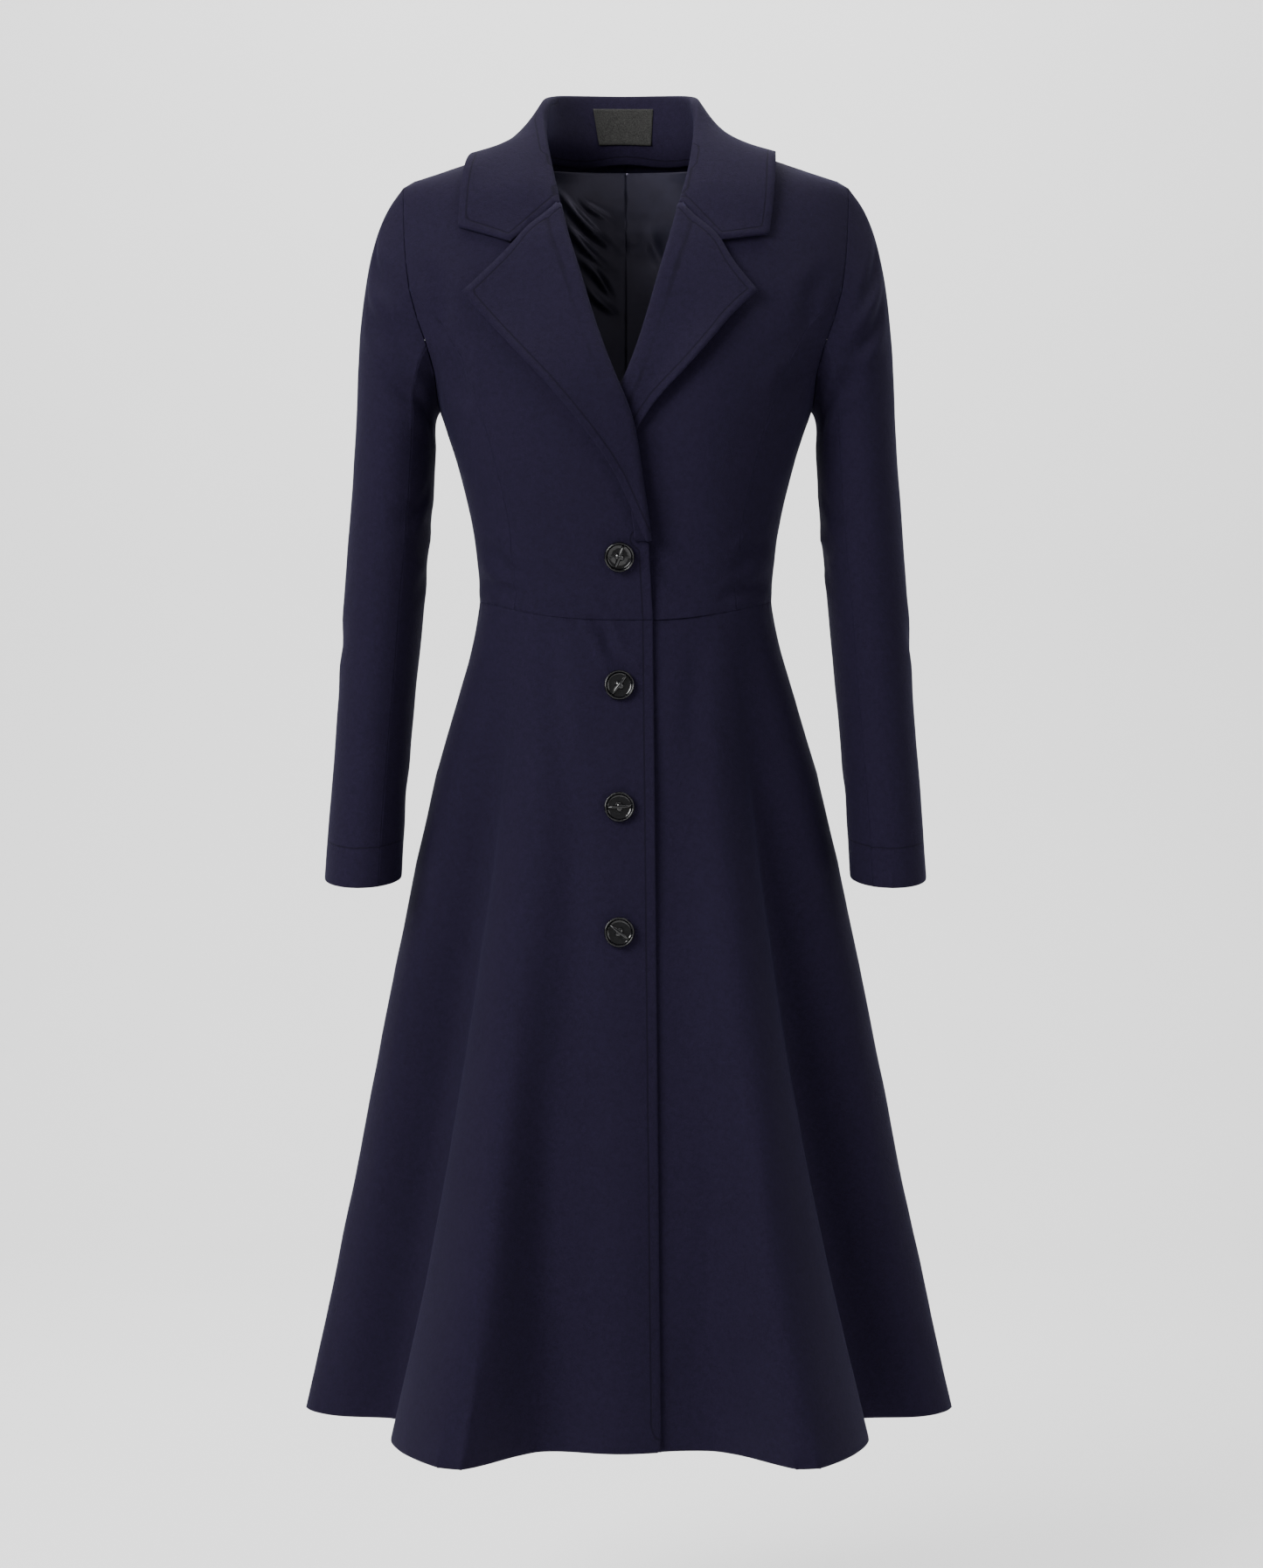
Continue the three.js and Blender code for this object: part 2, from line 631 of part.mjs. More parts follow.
// The sleeve's outer face: 0 to 1 is the cap from the armhole, 1 to 2 the tube to the cuff.
function sleevePoint(degrees, along) {
  const turn = radians(degrees);
  if (along > 1) {
    const cuff = CUFF_Z - CUFF_DIP * Math.sin(turn);
    return sleeveRing(degrees, mix(CAP_Z, cuff, along - 1));
  }
  const { point, normal, hole } = armholeFrame(degrees);
  const upper = (1 + Math.cos(turn)) / 2;
  const start = point.clone().addScaledVector(hole, SEAM_GAP);
  start.addScaledVector(normal, 0.35 * (1 - upper));
  const end = sleeveRing(degrees, CAP_Z);
  const reach = end.distanceTo(start);
  const leave = hole.clone().multiplyScalar(upper);
  leave.addScaledVector(normal, mix(0.75, 0.15, upper));
  leave.z -= mix(0.75, 0.12, upper);
  leave.setLength(reach * mix(1, 0.75, upper));
  const arrive = vector(0.055, 0, -1).multiplyScalar(reach * 0.9);
  const t = along;
  const out = start.multiplyScalar(2 * t ** 3 - 3 * t ** 2 + 1);
  out.addScaledVector(leave, t ** 3 - 2 * t ** 2 + t);
  out.addScaledVector(end, 3 * t ** 2 - 2 * t ** 3);
  out.addScaledVector(arrive, t ** 3 - t ** 2);
  return out;
}

function sleeveInward(degrees, along) {
  const turnStep = 1;
  const rowStep = 0.01;
  const round = sleevePoint(degrees + turnStep, along).sub(sleevePoint(degrees - turnStep, along));
  const low = Math.max(along - rowStep, 0);
  const down = sleevePoint(degrees, along + rowStep).sub(sleevePoint(degrees, low));
  const inward = down.cross(round).normalize();
  if (along > 0) return inward;
  const { hole } = armholeFrame(degrees);
  const against = Math.min(inward.dot(hole), 0);
  return inward.addScaledVector(hole, -against).normalize();
}

// A sleeve piece between two seams, for the wearer's left or mirrored for the right.
function sleevePanel(side, first, last) {
  const steps = Math.round((last - first) / AROUND_STEP);
  const turns = range(steps, first, last);
  const rows = [...CAP_ROWS, ...range(TUBE_ROWS, 1, 2)];
  const mirror = vector(side, 1, 1);
  const outer = rows.map((row) => turns.map((turn) => sleevePoint(turn, row).multiply(mirror)));
  const inward = rows.map((row) =>
    turns.map((turn) => sleeveInward(turn, row).multiply(mirror)),
  );
  return panelGeometry(outer, inward, WOOL);
}

// A lapel turns round its roll line: a strip behind the front, the fold, then the leaf on top.
const LEAF_STEPS = [0.2, 0.4, 0.6, 0.8, 1];
const TURN_STEPS = [-90, -45, 0, 45, 90];

function lapelRow(side, name, share) {
  const rollZ = mix(GORGE_Z, -345, share);
  const edgeZ = mix(-148, -341, share);
  const roll = new THREE.Vector2(fromClosing(side, rollX(rollZ)), rollZ);
  const edge = new THREE.Vector2(fromClosing(side, lapelEdgeX[name](edgeZ)), edgeZ);
  const above = new THREE.Vector2(fromClosing(side, rollX(rollZ + 6)), rollZ + 6);
  const line = above.sub(roll).normalize();
  const away = new THREE.Vector2(line.y, -line.x);
  const rise = LEAF_RISE[name] * (1 - easeStep((share - (side < 0 ? 0.55 : 0.3)) / 0.35));
  const found = [];
  const place = (flat, out, turn) => {
    const { point, normal } = torsoPoint(side, angleAt(flat.x, flat.y), flat.y, out);
    const out3 = torsoPoint(side, angleAt(flat.x + away.x, flat.y + away.y), flat.y + away.y, out);
    const across = out3.point.sub(point);
    across.addScaledVector(normal, -across.dot(normal)).normalize();
    const inward = normal.clone().multiplyScalar(-Math.sin(turn));
    inward.addScaledVector(across, Math.cos(turn)).normalize();
    found.push({ point, inward });
  };
  const at = (distance) => roll.clone().addScaledVector(away, distance);
  const middle = -WOOL / 2;
  place(at(FOLD_INSET + STRIP_DEPTH), middle - TURN_RADIUS, radians(-90));
  place(at(FOLD_INSET + STRIP_DEPTH / 2), middle - TURN_RADIUS, radians(-90));
  for (const degrees of TURN_STEPS) {
    const turn = radians(degrees);
    const out = middle + TURN_RADIUS * Math.sin(turn);
    place(at(TURN_RADIUS * (1 - Math.cos(turn))), out, turn);
  }
  const start = at(TURN_RADIUS);
  for (const step of LEAF_STEPS) {
    place(start.clone().lerp(edge, step), middle + TURN_RADIUS + rise * step ** 1.6, radians(90));
  }
  return found;
}

function lapelGeometry(side, name) {
  const rows = range(15).map((share) => lapelRow(side, name, share));
  const outer = rows.map((row) => row.map((one) => one.point));
  const inward = rows.map((row) => row.map((one) => one.inward));
  return panelGeometry(outer, inward, WOOL);
}

// Keeps a point of the collar's fall at least a given height above the torso.
function keepOff(point, least) {
  if (point.z > -3) return point;
  for (let i = 0; i < 3; i += 1) {
    const square = point.y < 0 ? FRONT_SQUARENESS : BACK_SQUARENESS;
    const depthAt = point.y < 0 ? torsoFront : torsoBack;
    const size = (p) =>
      (Math.abs(p.x) / torsoHalf(p.z)) ** square + (Math.abs(p.y) / depthAt(p.z)) ** square;
    const normal = torsoNormal(point.x, point.y, point.z);
    const slope = (size(point.clone().addScaledVector(normal, 1)) - size(point)) / 1;
    const height = (size(point) - 1) / Math.max(slope, 1e-3);
    if (height < least) point.addScaledVector(normal, least - height);
  }
  return point;
}

// Neckline seen from a collar station: its point, the torso's normal and the way off the neck.
function neckFrame(side, root) {
  const find = (shift) => {
    if (root >= 90) {
      const [angle, z] = backNeck(Math.min(root, 180) + shift);
      return torsoPoint(side, angle, z);
    }
    const z = root + shift;
    return torsoPoint(side, angleAt(frontBorderX(side, z), z), z);
  };
  const { point, normal } = find(0);
  const along = find(root >= 180 ? 0 : 1).point.sub(find(-1).point);
  const away = normal.clone().cross(along).normalize();
  const centre = vector(0, 20, point.z);
  if (away.dot(point.clone().sub(centre)) < 0) away.negate();
  return { point, normal, away };
}

// One section of the collar, from the turned-in strip up the stand and down the fall.
function collarSection(side, station, crisp) {
  const { point: root, normal, away } = neckFrame(side, station.root);
  const seat = root.clone().addScaledVector(normal, -WOOL / 2);
  const top = vector(...station.top);
  if (crisp) {
    const flatX = fromClosing(side, rollX(GORGE_Z + 1.2));
    const rolled = torsoPoint(side, angleAt(flatX, GORGE_Z + 1.2), GORGE_Z + 1.2, -WOOL / 2);
    top.copy(rolled.point);
  }
  const up = top.clone().sub(seat).normalize();
  const out = normal.clone().addScaledVector(up, -normal.dot(up)).normalize();
  const section = [];
  const add = (point, inward) => section.push({ point, inward: inward.clone().normalize() });
  const depth = WOOL / 2 - TURN_RADIUS;
  for (const distance of [STRIP_DEPTH, STRIP_DEPTH * 0.45]) {
    const point = seat.clone().addScaledVector(away, distance);
    add(point.addScaledVector(normal, -TURN_RADIUS - NECK_EASE), normal);
  }
  const centre = top.clone().addScaledVector(up, -TURN_RADIUS);
  const foot = seat.clone().addScaledVector(out, -TURN_RADIUS - NECK_EASE);
  const shoulder = centre.clone().addScaledVector(out, -TURN_RADIUS);
  add(foot.clone().lerp(shoulder, 0.08), out);
  add(foot.clone().lerp(shoulder, 0.54), out);
  for (const degrees of TURN_STEPS) {
    const turn = radians(degrees);
    const way = out.clone().multiplyScalar(Math.sin(turn)).addScaledVector(up, Math.cos(turn));
    add(centre.clone().addScaledVector(way, TURN_RADIUS), way.clone().negate());
  }
  const start = centre.clone().addScaledVector(out, TURN_RADIUS);
  const mid = vector(...station.mid);
  const edge = vector(...station.edge);
  const fallAt = (f) => {
    if (crisp) return f < 0.5 ? start.clone().lerp(mid, 2 * f) : mid.clone().lerp(edge, 2 * f - 1);
    const point = start.clone().multiplyScalar(2 * (f - 0.5) * (f - 1));
    point.addScaledVector(mid, -4 * f * (f - 1));
    return point.addScaledVector(edge, 2 * f * (f - 0.5));
  };
  for (const f of [0.25, 0.5, 0.75, 1]) {
    const point = keepOff(fallAt(f), WOOL + 1.2 + 2.5 * f);
    const path = fallAt(Math.min(f + 0.05, 1)).sub(fallAt(f - 0.05)).normalize();
    const near = point.z < -3 ? torsoNormal(point.x, point.y, point.z) : out.clone();
    const facing = out.clone().lerp(near, f);
    facing.addScaledVector(path, -facing.dot(path) * (crisp ? 0 : 1));
    add(point, facing.negate());
  }
  return section;
}

const COLLAR_STATIONS = [
  ...COLLAR_RIGHT.map((station, i) => collarSection(-1, station, i === 6)).reverse(),
  ...COLLAR_LEFT.slice(1).map((station, i) => collarSection(1, station, i === 5)),
];

// The collar's outer face and its way into the cloth, by place along it and column across it.
function collarPoint(place, column) {
  const last = COLLAR_STATIONS.length - 1;
  const share = clamp01((place + last / 2) / last);
  const through = (key) =>
    new THREE.CatmullRomCurve3(COLLAR_STATIONS.map((section) => section[column][key]));
  const inward = through("inward").getPoint(share).normalize();
  return { point: through("point").getPoint(share), inward };
}

function collarGeometry() {
  const last = COLLAR_STATIONS.length - 1;
  const columns = COLLAR_STATIONS[0].map((_, i) => i);
  const rows = range(34, -last / 2, last / 2).map((place) =>
    columns.map((column) => collarPoint(place, column)),
  );
  const outer = rows.map((row) => row.map((one) => one.point));
  const inward = rows.map((row) => row.map((one) => one.inward));
  return panelGeometry(outer, inward, WOOL);
}

// The plain label lies on the inside of the stand at the middle of the back.
const LABEL_SIZE = { reach: 0.72, low: 0.02, high: 0.78, lift: 0.5, thick: 0.8 };

function labelGeometry() {
  const { reach, low, high, lift, thick } = LABEL_SIZE;
  const rows = range(4, low, high).map((share) =>
    range(8, -reach, reach).map((place) => {
      const foot = collarPoint(place, 2);
      const shoulder = collarPoint(place, 4);
      const point = foot.point.lerp(shoulder.point, share);
      const inward = foot.inward.lerp(shoulder.inward, share).normalize();
      return { point: point.addScaledVector(inward, -lift - thick), inward };
    }),
  );
  const outer = rows.map((row) => row.map((one) => one.point));
  const inward = rows.map((row) => row.map((one) => one.inward));
  return panelGeometry(outer, inward, thick);
}

// A domed button with a raised rim, its back at zero and its face along +Z.
function buttonGeometry() {
  const profile = [
    [0, 0],
    [0.8, 0],
    [0.97, 0.18],
    [1, 0.42],
    [0.96, 0.68],
    [0.87, 0.74],
    [0.78, 0.62],
    [0.5, 0.85],
    [0.22, 0.97],
    [0, 1],
  ];
  const outline = profile.map(
    ([radius, height]) => new THREE.Vector2(radius * BUTTON_RADIUS, height * BUTTON_THICK),
  );
  return new THREE.LatheGeometry(outline, 20).rotateX(Math.PI / 2);
}

function buttonSeat(z) {
  if (z > WAIST_SIDE_Z - WAIST_DIP_FRONT) {
    const angle = angleAt(fromClosing(-1, 0), z);
    return torsoPoint(-1, angle, z);
  }
  let share = 0;
  for (let i = 0; i < 20; i += 1) {
    share += (skirtPoint(0, share).z - z) / (WAIST_SIDE_Z - HEM_Z);
  }
  return { point: skirtPoint(0, share), normal: skirtNormal(0, share) };
}

const coat = new THREE.Group();

function addPiece(name, geometry, colour, roughness) {
  const material = new THREE.MeshStandardMaterial({ color: colour, roughness, metalness: 0 });
  const mesh = new THREE.Mesh(geometry, material);
  mesh.name = name;
  coat.add(mesh);
  return mesh;
}

const addWool = (name, geometry) => addPiece(name, geometry, COLOURS.wool, 0.95);

for (const [name, side] of [["right", -1], ["left", 1]]) {
  addWool(`bodice_front_${name}`, torsoPanel(side, frontPatch(side)));
  addWool(`bodice_side_front_${name}`, torsoPanel(side, sidePatch(princessFrontX, -1)));
  addWool(`bodice_side_back_${name}`, torsoPanel(side, sidePatch(princessBackX, 1)));
  addWool(`bodice_back_${name}`, torsoPanel(side, backPatch()));
  const seam = side < 0 ? SIDE_RIGHT : SIDE_LEFT;
  addWool(`skirt_front_${name}`, skirtPanel(side, null, seam - (side < 0 ? FOLDS.length : 0), 22));
  addWool(`skirt_back_${name}`, skirtPanel(side, BACK_MIDDLE, seam, 16));
  addWool(`sleeve_top_${name}`, sleevePanel(side, HIND_SEAM - 360, FORE_SEAM));
  addWool(`sleeve_under_${name}`, sleevePanel(side, FORE_SEAM, HIND_SEAM));
  addWool(`lapel_${name}`, lapelGeometry(side, name));
  const lining = torsoPanel(side, liningPatch(), SATIN, LINING_DEPTH);
  addPiece(`lining_back_${name}`, lining, COLOURS.satin, 0.4);
}

addWool("collar", collarGeometry());
addPiece("label", labelGeometry(), COLOURS.label, 0.8);

BUTTONS_Z.forEach((z, i) => {
  const button = addPiece(`button_${i + 1}`, buttonGeometry(), COLOURS.button, 0.15);
  const { point, normal } = buttonSeat(z);
  button.position.copy(point).addScaledVector(normal, 0.7);
  button.quaternion.setFromUnitVectors(vector(0, 0, 1), normal);
});

export default coat;
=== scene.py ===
import math

import bmesh
import bpy
from mathutils import Matrix, Vector, kdtree, noise


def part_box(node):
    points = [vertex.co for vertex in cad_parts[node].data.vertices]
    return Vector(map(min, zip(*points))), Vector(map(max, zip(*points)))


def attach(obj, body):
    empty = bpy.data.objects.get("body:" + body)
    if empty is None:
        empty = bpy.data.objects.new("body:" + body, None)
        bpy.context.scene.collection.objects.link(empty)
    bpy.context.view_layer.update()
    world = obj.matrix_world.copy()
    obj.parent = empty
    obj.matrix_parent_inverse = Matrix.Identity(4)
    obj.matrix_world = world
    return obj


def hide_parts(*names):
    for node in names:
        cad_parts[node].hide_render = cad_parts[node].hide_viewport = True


bl_info = {
    "name": "Wool coat",
    "version": (1, 0, 0),
    "blender": (4, 5, 0),
    "location": "3D View > Sidebar > Coat",
    "description": "Dresses the packed solids of a flared wool coat in cloth",
    "category": "Object",
}

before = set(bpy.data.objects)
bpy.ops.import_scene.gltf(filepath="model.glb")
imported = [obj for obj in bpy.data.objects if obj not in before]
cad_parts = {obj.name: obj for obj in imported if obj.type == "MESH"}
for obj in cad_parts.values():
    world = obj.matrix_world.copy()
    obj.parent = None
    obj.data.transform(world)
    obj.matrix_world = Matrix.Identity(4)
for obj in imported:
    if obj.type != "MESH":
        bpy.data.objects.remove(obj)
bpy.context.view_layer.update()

MM = 0.001

# Cut-and-sewn wool pieces: the cut's width and length in metres and its flat area in square
# metres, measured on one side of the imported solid; the shape that creases turn round (torso,
# skirt, sleeve or neck); and how far in from a free edge its sewn line runs, in mm.
WOOL_PIECES = (
    # node, cut width, cut length, cut area, form, sewn line
    ("bodice_front_right", 0.23, 0.44, 0.0535, "torso", 8),
    ("bodice_front_left", 0.24, 0.44, 0.0575, "torso", 8),
    ("bodice_side_front_right", 0.11, 0.28, 0.0201, "torso", 0),
    ("bodice_side_front_left", 0.11, 0.28, 0.0201, "torso", 0),
    ("bodice_side_back_right", 0.13, 0.28, 0.0203, "torso", 0),
    ("bodice_side_back_left", 0.13, 0.28, 0.0203, "torso", 0),
    ("bodice_back_right", 0.24, 0.44, 0.0616, "torso", 0),
    ("bodice_back_left", 0.24, 0.44, 0.0616, "torso", 0),
    ("skirt_front_right", 0.56, 0.72, 0.2273, "skirt", 8),
    ("skirt_front_left", 0.58, 0.72, 0.2378, "skirt", 8),
    ("skirt_back_right", 0.46, 0.72, 0.1897, "skirt", 0),
    ("skirt_back_left", 0.46, 0.72, 0.1920, "skirt", 0),
    ("sleeve_top_right", 0.20, 0.62, 0.0890, "sleeve", 33),
    ("sleeve_top_left", 0.20, 0.62, 0.0890, "sleeve", 33),
    ("sleeve_under_right", 0.13, 0.50, 0.0460, "sleeve", 33),
    ("sleeve_under_left", 0.13, 0.50, 0.0460, "sleeve", 33),
    ("lapel_right", 0.15, 0.31, 0.0206, "torso", 6.5),
    ("lapel_left", 0.13, 0.30, 0.0167, "torso", 6.5),
    ("collar", 0.64, 0.18, 0.0631, "neck", 6.5),
)

# Creases on the front (face -1) or the back (face 1): ends across and up in mm, depth and
# half-width in mm.
CREASES = (
    # face, x1, z1, x2, z2, depth, width
    (-1, -32, -412, -8, -446, 1.6, 5),
    (-1, -8, -446, 2, -468, 1.1, 5),
    (-1, -70, -405, -36, -420, 1.0, 5),
    (-1, -118, -356, -88, -380, 1.5, 6),
    (-1, -122, -376, -84, -402, 1.3, 5),
    (-1, 116, -352, 90, -372, 1.4, 6),
    (-1, 120, -380, 82, -400, 1.2, 5),
    (-1, -150, -196, -126, -236, 1.6, 8),
    (-1, 152, -198, 128, -240, 1.6, 8),
    (-1, -164, -120, -150, -178, 1.4, 9),
    (-1, 166, -124, 150, -180, 1.3, 9),
    (-1, -60, -430, -54, -560, 1.0, 10),
    (-1, 58, -432, 60, -540, 1.0, 10),
    (-1, -117, -575, -214, -1080, 2.6, 17),
    (-1, 109, -560, 218, -1080, 2.6, 17),
    (-1, -74, -800, -70, -1020, 1.5, 15),
    (-1, 86, -760, 72, -1000, 1.5, 15),
    (-1, -40, -560, -46, -760, 0.9, 12),
    (1, -84, -620, -128, -1085, 2.2, 18),
    (1, 90, -600, 136, -1085, 2.2, 18),
    (1, -8, -700, 12, -1060, 1.2, 16),
    (-1, 20, -372, 60, -392, 0.9, 6),
    (1, -100, -372, -60, -392, 1.4, 7),
    (1, 104, -366, 64, -388, 1.4, 7),
    (1, -44, -380, 30, -394, 1.1, 6),
    (1, -150, -190, -120, -240, 1.5, 9),
    (1, 148, -196, 118, -244, 1.5, 9),
    (1, -60, -425, -52, -540, 1.3, 9),
    (1, 56, -428, 64, -552, 1.3, 9),
    (1, -30, -60, 34, -66, 1.0, 10),
)

# Creases of the right sleeve, mirrored on the left at slightly other heights: place round
# the sleeve in degrees (0 outside, 90 front, 180 body side), height in mm, reach round in
# degrees, slant, depth and half-width in mm.
SLEEVE_CREASES = (
    # turn, z, reach, slant, depth, width
    (160, -330, 50, 10, 0.9, 9),
    (154, -352, 56, -8, 1.2, 9),
    (166, -376, 46, 12, 0.8, 9),
    (120, -322, 36, 16, 1.4, 8),
    (60, -120, 40, -30, 1.5, 10),
    (75, -170, 46, -34, 1.7, 10),
    (110, -226, 40, -26, 1.8, 9),
    (250, -345, 50, 12, 1.8, 7),
    (262, -368, 44, -10, 1.6, 6),
    (285, -150, 42, -26, 1.4, 10),
    (20, -430, 40, 14, 0.6, 12),
    (100, -520, 50, 12, 0.5, 13),
    (200, -560, 46, -12, 0.4, 13),
)

# The sleeves' middle line, in mm: height, distance out, distance forward.
SLEEVE_LINE = ((-41, 190, 0), (-268, 197.5, 0), (-443, 210.3, 2), (-640, 223.5, 20))

# Folds of the satin: ends across and up, height and half-width, in mm.
LINING_FOLDS = (
    (-60, -30, -12, -78, 4.2, 3.6),
    (-54, -58, -11, -98, 4.0, 3.2),
    (-44, -84, -11, -118, 3.4, 3.2),
    (-34, -110, -10, -136, 2.8, 3.0),
    (-40, -34, -12, -56, 2.6, 2.6),
    (22, -62, 40, -104, 1.6, 5),
)
LINING_NODES = ("lining_back_right", "lining_back_left")

# Where the two linings join, and how far they stand inwards.
LINING_SEAM_X = -3
LINING_STAND = 1.2 * MM

# How far the collar eases: its outer edge inwards and its tips down, in mm. The pairs say
# where this starts and the span over which it grows: below, ahead or outwards, in mm.
COLLAR_EASE = (3.5, 6)
TIP_BELOW, TIP_AHEAD = (50, 40), (0, 40)
EDGE_OUT, EDGE_AHEAD = (88, 30), (-40, 70)

# Where the notch lies, how wide round it the lapels reach up and how far, in mm.
NOTCH_AT = (68, -103)
NOTCH_REACH = 20
NOTCH_MOVE = (4, 0, 3)

# How far the right lapel's lower end runs on over the front edge, and where this starts and
# the span over which it grows, in mm.
LAPEL_END = Vector((3.4, -2.8, -9))
LAPEL_END_BELOW = (296, 46)

# How far each button's bar is turned, in degrees.
BUTTON_TURNS = (70, 52, 3, -38)

# All creases are deepened by the scale, and fade towards the side seams over the fade, in mm.
# The ridges beside a crease have this share of its depth, this many half-widths off its
# middle. Creases and satin folds run over both ends of their line by a share of its length.
CREASE_SCALE = 2.2
SIDE_FADE = 22
RIDGE_HEIGHT, RIDGE_AT = 0.45, 1.9
CREASE_OVER, FOLD_OVER = 0.15, 0.2

# Waves of the slack: how many there are in a metre, and their share of the slack.
SLACK_WAVES = ((14, 1), (42, 0.35))

# The waist seam's height at the sides, how far it dips in front over the front's depth, and
# the height over which it draws the cloth in by the depth given, in mm. The gathers are
# counted in a radian round the body, and the row picks them from the noise.
WAIST_Z, WAIST_DIP, FRONT_DEPTH = -402, 12, 97
PUCKER_REACH, PUCKER_DEPTH = 14, 1.1
PUCKER_COUNT, PUCKER_ROW = 9, 3.1

# Free edges that stand off the layer beneath: top, bottom, height and reach inwards, in mm.
LAPEL_LIFT = (-105, -342, 3.6, 16)
CLOSING_LIFT = (-470, -700, 2.0, 12)

# Where free edges lie, in mm: the closing edges' spans across, the tops of the cuff and hem
# regions, the highest point of the closing edges, and the height below which they count as
# free only off a seam.
CLOSING_X = {"right": (12, 34), "left": (-44, -24)}
CUFF_TOP, HEM_TOP, BREAK_TOP, BREAK_LOW = -615, -1075, -340, -372

# Rims are edges sharper than the angle, held by the hold as a subdivision crease, and are
# let out by the let-out. Rims of two pieces closer than the reach share a seam. Faces
# narrower than the greatest wall are a rim's walls, and a rim that turns by more than the
# corner bend has a crisp corner. Triangles join up to the bend and skew given last.
RIM_ANGLE = math.radians(55)
RIM_HOLD = 0.95
RIM_LET_OUT = 0.145 * MM
SEAM_REACH = 1.8 * MM
WALL_MAX = 3.2 * MM
CORNER_BEND = math.radians(22)
JOIN_BEND, JOIN_SKEW = math.radians(28), math.radians(60)

# Cloth lies still this near a seam between differing forms, and moves fully past the fade.
QUIET_MM = 6
FADE_MM = 15


class CoatCloth(bpy.types.PropertyGroup):
    """Sizes and colours of the coat's cloth."""

    wool_hex: bpy.props.StringProperty(
        name="Wool colour", description="sRGB hex of the melton", default="130F1F"
    )
    satin_hex: bpy.props.StringProperty(
        name="Lining colour", description="sRGB hex of the satin", default="1A1A26"
    )
    label_hex: bpy.props.StringProperty(
        name="Label colour", description="sRGB hex of the label", default="1C1C1B"
    )
    fibre: bpy.props.FloatProperty(
        name="Fibre spacing",
        description="Spacing of the melton's felted fibres; the real 0.1 mm is too fine to show",
        default=0.9 * MM,
        unit="LENGTH",
    )
    slack: bpy.props.FloatProperty(
        name="Slack",
        description="How far the cloth wanders from its drafted form",
        default=0.7 * MM,
        unit="LENGTH",
    )
    smoothness: bpy.props.IntProperty(
        name="Smoothness",
        description="Subdivision level of collar, lapels and label; the rest has one more",
        default=2,
        min=1,
        max=3,
    )


class CoatButtons(bpy.types.PropertyGroup):
    """Sizes and colour of the buttons."""

    hex: bpy.props.StringProperty(
        name="Button colour", description="sRGB hex of the moulded resin", default="08080A"
    )
    rim: bpy.props.FloatProperty(
        name="Rim width",
        description="Width of the raised rim",
        default=2.4 * MM,
        unit="LENGTH",
    )
    boss: bpy.props.FloatProperty(
        name="Boss width",
        description="Width of the oval in the middle",
        default=6.5 * MM,
        unit="LENGTH",
    )


class CoatStudio(bpy.types.PropertyGroup):
    """Camera and light."""

    distance: bpy.props.FloatProperty(
        name="Camera distance",
        description="From the shoulder plane to the camera",
        default=2.4,
        unit="LENGTH",
    )
    eye: bpy.props.FloatProperty(
        name="Camera height", description="Below the origin", default=-0.553, unit="LENGTH"
    )
    aside: bpy.props.FloatProperty(
        name="Camera aside", description="Towards +X", default=0.0049, unit="LENGTH"
    )
    lens: bpy.props.FloatProperty(
        name="Lens", description="Focal length on a 36 mm long side", default=64.2
    )
    key: bpy.props.FloatProperty(name="Key light", description="Watts", default=165, min=0)
    fill: bpy.props.FloatProperty(name="Fill light", description="Watts", default=36, min=0)
    backdrop_hex: bpy.props.StringProperty(
        name="Backdrop colour", description="sRGB hex of the paper sweep", default="E6E6E6"
    )


def linear(hex_text):
    """Linear RGBA of an sRGB hex colour."""
    channels = [int(hex_text[i : i + 2], 16) / 255 for i in (0, 2, 4)]
    return [c / 12.92 if c <= 0.04045 else ((c + 0.055) / 1.055) ** 2.4 for c in channels] + [1]


def lighter(hex_text, times):
    """Linear RGBA of a colour made lighter or darker by a factor."""
    return [min(c * times, 1) for c in linear(hex_text)[:3]] + [1]


def add_node(tree, kind, settings=None, inputs=None, links=None):
    """Adds a node, sets its properties and sockets, and links sockets to other nodes' outputs."""
    node = tree.nodes.new(kind)
    for name, value in (settings or {}).items():
        setattr(node, name, value)
    for name, value in (inputs or {}).items():
        node.inputs[name].default_value = value
    for name, source in (links or {}).items():
        tree.links.new(source, node.inputs[name])
    return node


def new_material(name):
    """An empty node material and its shader."""
    material = bpy.data.materials.new(name)
    material.use_nodes = True
    tree = material.node_tree
    tree.nodes.clear()
    shader = add_node(tree, "ShaderNodeBsdfPrincipled")
    add_node(tree, "ShaderNodeOutputMaterial", links={"Surface": shader.outputs["BSDF"]})
    return material, tree, shader


def two_tone(tree, factor, hex_text, dark, light):
    """A colour between a darker and a lighter tone of one colour, by a factor."""
    ramp = add_node(tree, "ShaderNodeValToRGB", links={"Fac": factor})
    for stop, place, times in zip(ramp.color_ramp.elements, (0.35, 0.65), (dark, light)):
        stop.position = place
        stop.color = lighter(hex_text, times)
    return ramp.outputs["Color"]


def noise_factor(tree, place, size, **inputs):
    """A noise of a real size in metres, from 0 to 1."""
    inputs["Scale"] = 1 / size
    noise_node = add_node(tree, "ShaderNodeTexNoise", inputs=inputs, links={"Vector": place})
    return noise_node.outputs["Fac"]


def bump_normal(tree, height, strength, distance, normal=None):
    """A normal that shows a height as relief, on top of another normal if there is one."""
    sizes = {"Strength": strength, "Distance": distance}
    bump = add_node(tree, "ShaderNodeBump", inputs=sizes, links={"Height": height})
    if normal is not None:
        tree.links.new(normal, bump.inputs["Normal"])
    return bump.outputs["Normal"]


